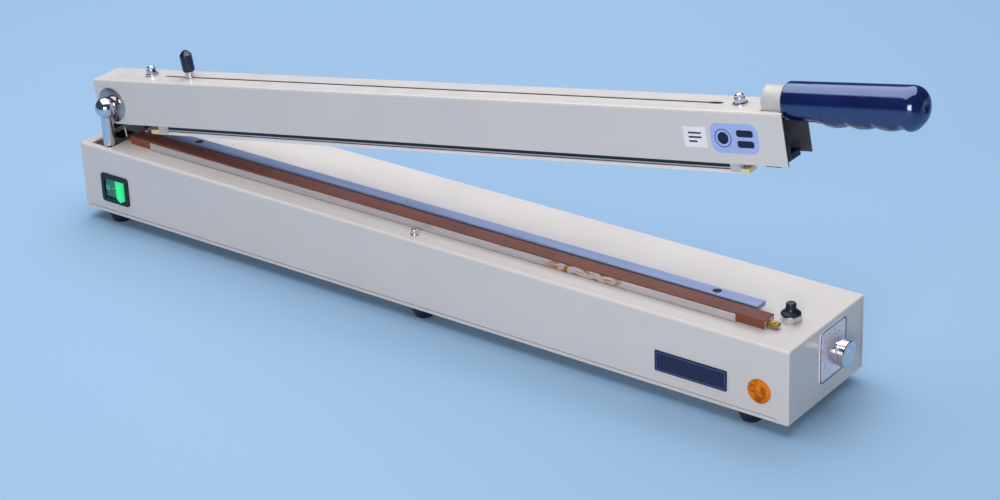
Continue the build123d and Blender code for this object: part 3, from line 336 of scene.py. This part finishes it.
def silicone():
    """Translucent white silicone; the bare ends past the profile are thicker and look yellow."""
    made = Finish("silicone", (0.80, 0.78, 0.74), 0.36, Subsurface_Weight=0.25, Subsurface_Scale=0.004,
                  Subsurface_Radius=(1.0, 0.8, 0.6))
    low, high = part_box("bar_insert")
    position = made.axis("X")
    bare = made.maths("MAXIMUM", made.span(position, low.x - 0.004, low.x + 0.002, 1.0, 0.0),
                      made.span(position, high.x + 0.006, high.x + 0.012))
    cloudy = made.ramp(made.noise(80.0, 3.0), (0.3, (0.76, 0.74, 0.71)), (0.7, (0.86, 0.84, 0.81)))
    made.tint(made.mix(bare, cloudy, (0.80, 0.66, 0.36)))
    made.smudge(100.0, 0.3, 0.45)
    made.relief(made.noise(500.0, 2.0), 0.00005, 0.3)
    return made


def blue_vinyl():
    made = Finish("blue_vinyl", (0.006, 0.010, 0.080), 0.14, IOR=2.2,
                  Specular_Tint=(0.50, 0.68, 1.0, 1.0))
    made.tint(made.ramp(made.noise(35.0, 3.0), (0.3, (0.003, 0.005, 0.055)), (0.7, (0.006, 0.010, 0.080))))
    made.smudge(60.0, 0.11, 0.18)
    made.relief(made.noise(240.0, 2.0), 0.00004, 0.2)
    return made


def rocker_green():
    """Green translucent plastic with a lamp behind its raised half."""
    made = Finish("rocker_green", (0.01, 0.22, 0.12), 0.25, Coat_Weight=0.4, Coat_Roughness=0.1)
    low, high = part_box("rocker_button")
    middle = (low.x + high.x) / 2
    lit = made.span(made.axis("X"), middle - 0.0003, middle + 0.0012)
    grain = made.noise(700.0, 2.0)
    made.tint(made.mix(lit, made.ramp(grain, (0.3, (0.006, 0.13, 0.075)), (0.7, (0.012, 0.19, 0.11))),
                       (0.05, 0.72, 0.28)))
    made.link(made.mix(lit, (0.0, 0.02, 0.012), (0.02, 0.50, 0.17)), made.shader.inputs["Emission Color"])
    made.set("Emission Strength", 0.9)
    made.relief(grain, 0.00003, 0.4)
    return made


def lens_orange():
    """Orange signal lens, brighter in blotches where the lamp shows through its ribs."""
    made = Finish("lens_orange", (0.55, 0.15, 0.0), 0.25, Specular_IOR_Level=0.2)
    blotches = made.noise(230.0, 2.0)
    made.tint(made.ramp(blotches, (0.36, (0.26, 0.06, 0.0)), (0.6, (0.56, 0.15, 0.0))))
    made.link(made.ramp(blotches, (0.35, (0.30, 0.07, 0.0)), (0.65, (0.75, 0.22, 0.0))),
              made.shader.inputs["Emission Color"])
    made.set("Emission Strength", 0.22)
    made.relief(made.cells(420.0), 0.0003, 0.25)
    return made


def printed_plate(name, colour, roughness):
    """Screen-printed sheet: an even colour over faintly brushed metal."""
    made = Finish(name, colour, roughness, 0.0, Coat_Weight=0.1, Coat_Roughness=0.15, Specular_IOR_Level=0.35)
    made.mottle(60.0, 0.04)
    made.relief(made.noise(1.0, 3.0, stretch=(300.0, 300.0, 3000.0)), 0.00002, 0.4)
    return made


def laminations():
    """Varnished iron laminations, half a millimetre each."""
    made = Finish("transformer_core", (0.09, 0.075, 0.06), 0.4, 0.3)
    layers = made.noise(1.0, 1.0, stretch=(2.0, 1900.0, 2.0))
    made.tint(made.ramp(layers, (0.4, (0.05, 0.04, 0.035)), (0.6, (0.14, 0.11, 0.085))))
    made.relief(layers, 0.0002, 0.5)
    return made


def circuit_board():
    made = Finish("circuit_board", (0.02, 0.16, 0.06), 0.35)
    tracks = made.cells(260.0, stretch=(1.0, 1.0, 0.5))
    made.tint(made.ramp(tracks, (0.10, (0.05, 0.30, 0.12)), (0.16, (0.015, 0.12, 0.045))))
    made.relief(tracks, 0.0001, 0.3)
    return made


finishes = {
    "cream_enamel": enamel(),
    "black_enamel": black_enamel(),
    "chrome": plated("chrome", (0.66, 0.65, 0.70), 0.05, 0.12),
    "nickel_disc": plated("nickel_disc", (0.46, 0.42, 0.40), 0.10, 0.2, lines=(1.0, 0.05, 1.0)),
    "bright_steel": plated("bright_steel", (0.66, 0.66, 0.68), 0.16, 0.32, lines=(1.0, 1.0, 0.1)),
    "spring_steel": plated("spring_steel", (0.36, 0.36, 0.38), 0.24, 0.4, lines=(1.0, 1.0, 1.0)),
    "anodised_rail": rail_alloy(),
    "bar_alloy": bar_alloy(),
    "heater_metal": heat_tinted(),
    "brass_fitting": brass(),
    "brown_cloth": glass_cloth(),
    "bar_trim": moulded("bar_trim", (0.010, 0.010, 0.012), 0.35, 0.5),
    "white_cap": moulded("white_cap", (0.50, 0.495, 0.48), 0.28, 0.4, Subsurface_Weight=0.1,
                         Subsurface_Scale=0.002),
    "silicone": silicone(),
    "black_rubber": moulded("black_rubber", (0.004, 0.006, 0.022), 0.32, 0.44, grain=800.0),
    "black_plastic": moulded("black_plastic", (0.004, 0.006, 0.020), 0.28, 0.4),
    "knob_plastic": moulded("knob_plastic", (0.003, 0.005, 0.030), 0.16, 0.26, grain=500.0,
                            Coat_Weight=0.4),
    "blue_vinyl": blue_vinyl(),
    "rocker_green": rocker_green(),
    "lens_orange": lens_orange(),
    "plate_navy": printed_plate("plate_navy", (0.010, 0.016, 0.060), 0.42),
    "plate_dial": printed_plate("plate_dial", (0.74, 0.76, 0.86), 0.2),
    "transformer_core": laminations(),
    "circuit_board": circuit_board(),
    "wire_pvc": moulded("wire_pvc", (0.30, 0.03, 0.02), 0.35, 0.5),
}
extra_finishes = {
    "label_white": printed_plate("label_white", (0.80, 0.80, 0.82), 0.35),
    "label_blue": printed_plate("label_blue", (0.36, 0.46, 0.82), 0.35),
    "print_dark": printed_plate("print_dark", (0.006, 0.008, 0.035), 0.45),
    "print_light": printed_plate("print_light", (0.62, 0.66, 0.72), 0.4),
    "print_line": printed_plate("print_line", (0.10, 0.15, 0.34), 0.45),
    # near-black steel, painted shade for the rail's screws
    "shade_darkened_steel": plated("shade_darkened_steel", (0.05, 0.05, 0.06), 0.22, 0.36),
}
node_finishes = {"rail_screws": extra_finishes["shade_darkened_steel"]}      # painted shade: darker than their slot's finish, as the screws sit in shade

for part in frame["record"]["subparts"]:
    mesh = nodes[part["node"]].data
    mesh.materials.clear()
    mesh.materials.append(node_finishes.get(part["node"], finishes[part["material_slot"]]).material)


# ------------------------------------------------------------------ mesh helpers
def linked(name, data):
    """An object made from its data and put into the scene."""
    made = bpy.data.objects.new(name, data)
    bpy.context.scene.collection.objects.link(made)
    return made


def piece(name, mesh_builder, body, slot, finish=None, smooth=True):
    """Makes an object from a bmesh, gives it its finish, and lets it ride on a body."""
    mesh = bpy.data.meshes.new(name)
    bmesh.ops.recalc_face_normals(mesh_builder, faces=mesh_builder.faces)
    mesh_builder.to_mesh(mesh)
    mesh_builder.free()
    made = linked(name, mesh)
    mesh.materials.append((finish or finishes[slot]).material)
    if smooth:
        mesh.shade_smooth()
        mesh.set_sharp_from_angle(angle=radians(38))
    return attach(made, body) if body else made


def skin(rings, closed_ends=True, loop=False):
    """A bmesh skinned over rings of points that all have the same count."""
    made = bmesh.new()
    rows = [[made.verts.new(point) for point in ring] for ring in rings]
    pairs = list(zip(rows, rows[1:] + rows[:1])) if loop else list(zip(rows, rows[1:]))
    for low, high in pairs:
        for i in range(len(low)):
            j = (i + 1) % len(low)
            made.faces.new((low[i], low[j], high[j], high[i]))
    if closed_ends and not loop:
        made.faces.new(rows[0][::-1])
        made.faces.new(rows[-1])
    return made


def turned(outline, place, sides=48):
    """A bmesh turned from (radius, height) points in mm round the local Z axis of a place."""
    rings = []
    for radius, height in outline:
        radius = max(radius, 0.02)
        rings.append([at((radius * cos(2 * pi * i / sides), radius * sin(2 * pi * i / sides), height), place)
                      for i in range(sides)])
    return skin(rings)


def wire(points, radius, sides=10):
    """A bmesh tube of a radius along closely spaced points."""
    rings = []
    side = Vector((0, 1, 0))
    for i, point in enumerate(points):
        ahead = (points[min(i + 1, len(points) - 1)] - points[max(i - 1, 0)]).normalized()
        side = (side - ahead * side.dot(ahead)).normalized()
        up = ahead.cross(side)
        rings.append([point + radius * (cos(2 * pi * k / sides) * side + sin(2 * pi * k / sides) * up)
                      for k in range(sides)])
    return skin(rings)


def rounded_outline(width, height, radius, steps=6):
    """Points round a rectangle with rounded corners, in mm, centred on zero."""
    points = []
    for turn, (sx, sy) in enumerate(((1, 1), (-1, 1), (-1, -1), (1, -1))):
        for step in range(steps + 1):
            angle = pi / 2 * (turn + step / steps)
            points.append((sx * (width / 2 - radius) + radius * cos(angle),
                           sy * (height / 2 - radius) + radius * sin(angle)))
    return points


def ring_outline(radius, steps=40):
    return [(radius * cos(2 * pi * i / steps), radius * sin(2 * pi * i / steps)) for i in range(steps)]


def slab(outline, place, thickness, edge=0.0):
    """A bmesh plate over an outline in mm, on a place's XY plane, with a small bevelled edge."""
    inset = 1 - edge / max(abs(x) + abs(y) for x, y in outline)
    rings = [[at((x, y, 0.0), place) for x, y in outline],
             [at((x, y, thickness - edge), place) for x, y in outline],
             [at((x * inset, y * inset, thickness), place) for x, y in outline]]
    return skin(rings if edge else rings[:2])


def frame_slab(outer, inner, place, thickness):
    """A bmesh flat frame between two outlines with the same number of points."""
    rings = [[at((x, y, h), place) for x, y in outline]
             for outline, h in ((outer, 0.0), (outer, thickness), (inner, thickness), (inner, 0.0))]
    return skin(rings, loop=True)


def facing(origin, x_axis, normal):
    """A place whose X and Z axes are given, at an origin in metres."""
    x_axis, normal = Vector(x_axis).normalized(), Vector(normal).normalized()
    columns = Matrix((x_axis, normal.cross(x_axis), normal)).transposed()
    return Matrix.Translation(Vector(origin)) @ columns.to_4x4()


# ------------------------------------------------------------------ handle grip
GRIP_START, GRIP_END = 675.2, 783.2                      # along the arm from the hinge, mm
GRIP_AXIS = 26.0                                         # above the hinge, square to the arm, mm
GRIP_RADII = (14.1, 14.9)                                # at its start and at its end, mm
FIRST_LOBE, LOBE_PITCH = 714.0, 20.8                     # middle of the first finger lobe, and the pitch, mm


def grip_radius(station, angle):
    """Radius of the dipped grip in mm: tapered, with finger lobes underneath and a rounded end."""
    lead_in, fade_in = 16.0, 9.0                         # where the lobes rise from the round grip
    lead_out, fade_out = 3.0, 8.0                        # and where they sink back into it
    crest, web = 2.3, 0.9                                # heights of the lobes and between them
    lip = 2.2                                            # radius of the rounded start
    end_length, end_drop, end_power = 12.0, 0.66, 2.6    # shape of the domed end
    share = (station - GRIP_START) / (GRIP_END - GRIP_START)
    radius = GRIP_RADII[0] + (GRIP_RADII[1] - GRIP_RADII[0]) * share
    below = max(0.0, -sin(angle)) ** 1.5
    lobe_zone = min(1.0, max(0.0, (station - FIRST_LOBE + lead_in) / fade_in))
    lobe_zone *= min(1.0, max(0.0, (GRIP_END - lead_out - station) / fade_out))
    phase = abs(cos(pi * (station - FIRST_LOBE) / LOBE_PITCH))
    radius += below * lobe_zone * (crest * phase ** 0.8 + web)
    start_curve = min(1.0, (station - GRIP_START) / lip)
    radius -= lip * (1 - (1 - (1 - start_curve) ** 2) ** 0.5)
    end_curve = max(0.0, (station - GRIP_END + end_length) / end_length)
    return radius * (1 - end_drop * (1 - (1 - min(end_curve, 1.0) ** end_power) ** 0.5))


def make_grip():
    """The dipped grip, skinned over rings that stand closer together at its two rounded ends."""
    sides, dome_steps = 72, 26
    start_length, dome_length = 2.5, 11.0
    fine_step, coarse_step = 0.25, 0.9
    angles = [2 * pi * i / sides for i in range(sides)]

    def ring(station, radius_at):
        return [at((station, radius_at(angle) * cos(angle), GRIP_AXIS + radius_at(angle) * sin(angle)),
                   arm_frame) for angle in angles]

    stations = [GRIP_START + fine_step * i for i in range(round(start_length / fine_step))]
    coarse_count = int((GRIP_END - GRIP_START) / coarse_step)
    stations += [GRIP_START + start_length + coarse_step * i for i in range(coarse_count)]
    stations = [s for s in stations if s < GRIP_END - dome_length]
    stations += [GRIP_END - dome_length * cos(pi / 2 * i / dome_steps) for i in range(dome_steps)]
    stations.append(GRIP_END - 0.01)
    rings = [ring(station, lambda angle: grip_radius(station, angle)) for station in stations]
    # the dimple in the end face
    for depth, radius in ((0.0, 3.0), (0.4, 2.4), (0.8, 2.0)):
        rings.append(ring(GRIP_END - depth, lambda angle: radius))
    grip = piece("grip_dipped", skin(rings), "arm", "blue_vinyl")
    grip.data.set_sharp_from_angle(angle=radians(60))
    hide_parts("handle_grip")


make_grip()


# ------------------------------------------------------------------ starting button's rubber boot
def make_boot():
    low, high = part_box("button_boot")
    middle = (low + high) / 2
    height = (high.z - low.z) / MM
    place = Matrix.Translation((middle.x, middle.y, low.z))
    outline = [(4.05, 0.0), (7.3, 0.0), (7.65, 0.3), (7.6, 0.9), (7.2, 1.4), (6.4, 2.0), (5.4, 2.8),
               (4.6, 3.7), (4.2, 4.6), (4.0, 5.4), (3.85, height - 1.3), (3.7, height - 0.7),
               (3.3, height - 0.25), (2.9, height - 0.02), (1.6, height), (0.0, height)]
    boot = piece("boot_moulded", turned(outline, place, 56), None, "black_rubber")
    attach(boot, "base")
    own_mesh(boot)
    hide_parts("button_boot")


make_boot()


# ------------------------------------------------------------------ springs
def helix(start, axis, radius, length, turns, per_turn=28):
    """Closely spaced points of a helix from a start point along an axis, in metres."""
    axis = Vector(axis).normalized()
    side = Vector((0, 1, 0)) if abs(axis.y) < 0.9 else Vector((1, 0, 0))
    other = axis.cross(side)
    count = int(turns * per_turn)
    points = []
    for i in range(count + 1):
        angle = 2 * pi * i / per_turn
        outward = cos(angle) * side + sin(angle) * other
        points.append(start + axis * (length * i / count) + radius * outward)
    return points


def make_springs():
    low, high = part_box("return_spring")
    pin = (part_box("spring_pin")[0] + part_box("spring_pin")[1]) / 2
    middle_x = (low.x + high.x) / 2
    coil_start = Vector((middle_x, pin.y, low.z + 12.0 * MM))
    coil_length = 27.0 * MM
    coil = helix(coil_start, (0, 0, 1), 6.0 * MM, coil_length, 11.5)
    foot = [Vector((middle_x, pin.y, low.z + 0.3 * MM)), Vector((middle_x, pin.y, low.z + 7.0 * MM)),
            Vector((middle_x, pin.y + 2.0 * MM, low.z + 9.5 * MM))]
    eye_radius = 3.9 * MM
    neck = [Vector((middle_x, pin.y - 2.0 * MM, coil_start.z + coil_length + 3.0 * MM)),
            Vector((middle_x, pin.y, coil_start.z + coil_length + 6.0 * MM)),
            Vector((pin.x, pin.y, pin.z - eye_radius - 3.0 * MM))]
    eye = [pin + eye_radius * Vector((sin(a), 0, -cos(a))) for a in (2 * pi * i / 32 for i in range(31))]
    spring = piece("spring_return", wire(foot + coil + neck + eye, 1.1 * MM), None, "spring_steel")
    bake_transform(spring)
    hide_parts("return_spring")

    low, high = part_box("tension_spring")
    middle = (low + high) / 2
    coil = helix(Vector((low.x + 0.2 * MM, middle.y, middle.z)), (1, 0, 0), 1.15 * MM,
                 high.x - low.x - 0.4 * MM, 10.2, 16)
    spring = piece("spring_tension", wire(coil, 0.22 * MM, 8), None, "spring_steel")
    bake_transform(spring)
    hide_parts("tension_spring")

    spring_low, spring_high = -11.6, 19.6
    for side, station in (("left", 39.7), ("right", 634.0)):
        start = at((station, 0, spring_low), arm_frame)
        coil = helix(start, across, 4.0 * MM, (spring_high - spring_low) * MM, 9.3)
        spring = piece(f"spring_bar_{side}", wire(coil, 0.5 * MM, 8), "arm", "spring_steel")
        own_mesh(spring)
        if side == "left":
            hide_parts("bar_springs")


make_springs()

# ------------------------------------------------------------------ labels and printed marks
PRINT = 0.06                                             # thickness of a label or print, mm


def arm_label(name, low, high, radius, finish):
    """A label on the arm's front wall between two corners along and across the arm, in mm."""
    width, height = high[0] - low[0], high[1] - low[1]
    origin = arm_frame @ Vector(((low[0] + high[0]) / 2 * MM, front_wall, (low[1] + high[1]) / 2 * MM))
    place = facing(origin, along, (0, -1, 0))
    piece(name, slab(rounded_outline(width, height, radius), place, PRINT), "arm", "cream_enamel",
          extra_finishes[finish], smooth=False)
    return place


def make_labels():
    """Two plain stickers with simple shapes of no meaning."""
    white = arm_label("label_square", (592.8, -6.4), (612.4, 9.3), 0.6, "label_white")
    longest, row_pitch = 11.0, 3.2
    for row, length in enumerate((longest, longest, 7.0)):
        bar = slab(rounded_outline(length, 1.3, 0.4), white @ Matrix.Translation(
            ((length - longest) / 2 * MM, row_pitch * (1 - row) * MM, PRINT * MM)), PRINT)
        piece(f"label_square_bar_{row}", bar, "arm", "cream_enamel", extra_finishes["print_dark"], False)
    blue = arm_label("label_rounded", (616.0, -9.4), (656.2, 13.2), 6.5, "label_blue")
    disc_place = blue @ Matrix.Translation((-9.6 * MM, 0, PRINT * MM))
    disc = slab(ring_outline(4.6), disc_place, PRINT)
    piece("label_rounded_disc", disc, "arm", "cream_enamel", extra_finishes["print_dark"], False)
    ring = frame_slab(ring_outline(7.0), ring_outline(6.4), disc_place, PRINT)
    piece("label_rounded_ring", ring, "arm", "cream_enamel", extra_finishes["print_dark"], False)
    for row, offset in enumerate((4.0, -4.0)):
        bar = slab(rounded_outline(14.0, 5.2, 2.0), blue @ Matrix.Translation(
            (9.0 * MM, offset * MM, PRINT * MM)), PRINT)
        piece(f"label_rounded_bar_{row}", bar, "arm", "cream_enamel", extra_finishes["print_dark"], False)


def make_plate_frame():
    """The thin light line inside the edge of the blank name plate."""
    low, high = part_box("name_plate")
    width, height = (high.x - low.x) / MM, (high.z - low.z) / MM
    place = facing(((low.x + high.x) / 2, low.y, (low.z + high.z) / 2), (1, 0, 0), (0, -1, 0))
    line = frame_slab(rounded_outline(width - 2.6, height - 2.6, 0.8),
                      rounded_outline(width - 3.3, height - 3.3, 0.5), place, PRINT)
    piece("plate_frame", line, "base", "plate_navy", extra_finishes["print_line"], False)


def make_dial_print():
    """Border, graduations and numerals of the timer's dial."""
    low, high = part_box("dial_plate")
    knob_low, knob_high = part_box("timer_knob")
    width, height = (high.y - low.y) / MM, (high.z - low.z) / MM
    place = facing((high.x, (low.y + high.y) / 2, (low.z + high.z) / 2), (0, 1, 0), (1, 0, 0))
    border = frame_slab(rounded_outline(width - 0.1, height - 0.1, 3.9),
                        rounded_outline(width - 2.3, height - 2.1, 3.0), place, PRINT)
    piece("dial_border", border, "base", "plate_dial", extra_finishes["print_dark"], False)
    centre = facing((high.x, (knob_low.y + knob_high.y) / 2, (knob_low.z + knob_high.z) / 2),
                    (0, 1, 0), (1, 0, 0))
    first_angle, sweep, steps, numerals = 225, 270, 18, 10
    tick_start, numeral_radius = 11.2, 15.2
    marks = bmesh.new()
    for step in range(steps + 1):
        angle = radians(first_angle - sweep * step / steps)
        length = 2.0 if step % 2 == 0 else 1.1
        turned_place = centre @ Matrix.Rotation(angle, 4, "Z") @ Matrix.Translation(
            ((tick_start + length / 2) * MM, 0, 0))
        tick = slab(rounded_outline(length, 0.32, 0.1, 2), turned_place, PRINT)
        held = bpy.data.meshes.new("tick")
        tick.to_mesh(held)
        tick.free()
        marks.from_mesh(held)
        bpy.data.meshes.remove(held)
    piece("dial_ticks", marks, "base", "plate_dial", extra_finishes["print_dark"], False)
    for number in range(numerals):
        angle = radians(first_angle - sweep * number / (numerals - 1))
        text = bpy.data.curves.new(f"numeral_{number}", "FONT")
        text.body = str(number)
        text.align_x = text.align_y = "CENTER"
        text.size = 2.7 * MM
        text.extrude = PRINT * MM / 2
        spot = centre @ (Vector((numeral_radius * cos(angle), numeral_radius * sin(angle), PRINT / 2)) * MM)
        carrier = linked(f"numeral_{number}", text)
        carrier.matrix_world = facing(spot, (0, 1, 0), (1, 0, 0))
        bpy.context.view_layer.update()
        mesh = bpy.data.meshes.new_from_object(carrier.evaluated_get(bpy.context.evaluated_depsgraph_get()))
        mesh.transform(carrier.matrix_world)
        bpy.data.objects.remove(carrier)
        numeral = linked(f"dial_numeral_{number}", mesh)
        mesh.materials.clear()
        mesh.materials.append(extra_finishes["print_dark"].material)
        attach(numeral, "base")


def make_rocker_marks():
    """The circle and the stroke on the rocker's pressed half."""
    low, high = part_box("rocker_button")
    middle = Vector(((low.x + high.x) / 2, joints["rocker_tilt"]["pos_m"][1], (low.z + high.z) / 2))
    half_angle = radians(13.0)                           # between each half and the rocker's middle plane
    face_middle = 2.9                                    # from the pivot to the edge between the halves, mm
    tilt = Matrix.Rotation(-half_angle, 4, "Z")
    slope = tan(half_angle)
    x_axis = tilt.to_3x3() @ Vector((1.0, slope, 0))
    normal = x_axis.cross(Vector((0, 0, 1)))
    for name, station in (("circle", -7.4), ("stroke", -2.2)):
        local = Vector((station, -face_middle + slope * station, 0)) * MM
        place = facing(Matrix.Translation(middle) @ tilt @ local, x_axis, normal)
        if name == "circle":
            mark = frame_slab(ring_outline(2.1, 32), ring_outline(1.5, 32), place, PRINT)
        else:
            mark = slab(rounded_outline(2.4, 0.7, 0.2, 3), place, PRINT)
        piece(f"rocker_{name}", mark, "rocker", "rocker_green", extra_finishes["print_light"], False)


make_labels()
make_plate_frame()
make_dial_print()
make_rocker_marks()


# ------------------------------------------------------------------ floor, light and camera
def make_floor():
    made = bmesh.new()
    reach = 14.0
    corners = [made.verts.new((x * reach, y * reach, 0.0)) for x, y in ((-1, -1), (1, -1), (1, 1), (-1, 1))]
    made.faces.new(corners)
    mesh = bpy.data.meshes.new("floor")
    made.to_mesh(mesh)
    made.free()
    floor = linked("floor", mesh)
    mesh.materials.append(Finish("floor_paper", (0.28, 0.46, 0.65), 0.75).material)


def area_light(name, place, target, size, power, colour):
    data = bpy.data.lights.new(name, "AREA")
    data.shape = "RECTANGLE"
    data.size, data.size_y = size
    data.energy = power
    data.color = colour
    light = linked(name, data)
    light.location = place
    light.rotation_euler = (Vector(target) - Vector(place)).to_track_quat("-Z", "Y").to_euler()


def make_lights():
    middle = (0.0, -0.02, 0.1)
    area_light("overhead", (-0.35, 0.3, 1.6), middle, (2.4, 2.4), 49.0, (1.0, 0.97, 0.97))
    area_light("key", (1.16, -2.06, 0.85), middle, (1.2, 1.0), 37.0, (1.0, 0.89, 0.81))
    world = bpy.data.worlds.new("studio")
    bpy.context.scene.world = world
    world.use_nodes = True
    world.node_tree.nodes["Background"].inputs["Color"].default_value = (0.16, 0.27, 0.50, 1.0)
    world.node_tree.nodes["Background"].inputs["Strength"].default_value = 0.3


def make_camera():
    """The photographer's place: to the right, in front and above, with a slight roll."""
    place = (1.1345, -1.4616, 0.9506)
    yaw, pitch, roll = radians(-37.54), radians(26.05), radians(-2.29)
    ahead = Vector((sin(yaw) * cos(pitch), cos(yaw) * cos(pitch), -sin(pitch)))
    level = Vector((cos(yaw), -sin(yaw), 0.0))
    upward = level.cross(ahead)
    side = cos(roll) * level + sin(roll) * upward
    top = -sin(roll) * level + cos(roll) * upward
    data = bpy.data.cameras.new("camera")
    data.sensor_width = 36.0
    data.lens = 92.6
    camera = linked("camera", data)
    camera.matrix_world = Matrix.Translation(place) @ Matrix((side, top, -ahead)).transposed().to_4x4()
    bpy.context.scene.camera = camera


make_floor()
make_lights()
make_camera()
bpy.context.scene.view_settings.view_transform = "Standard"
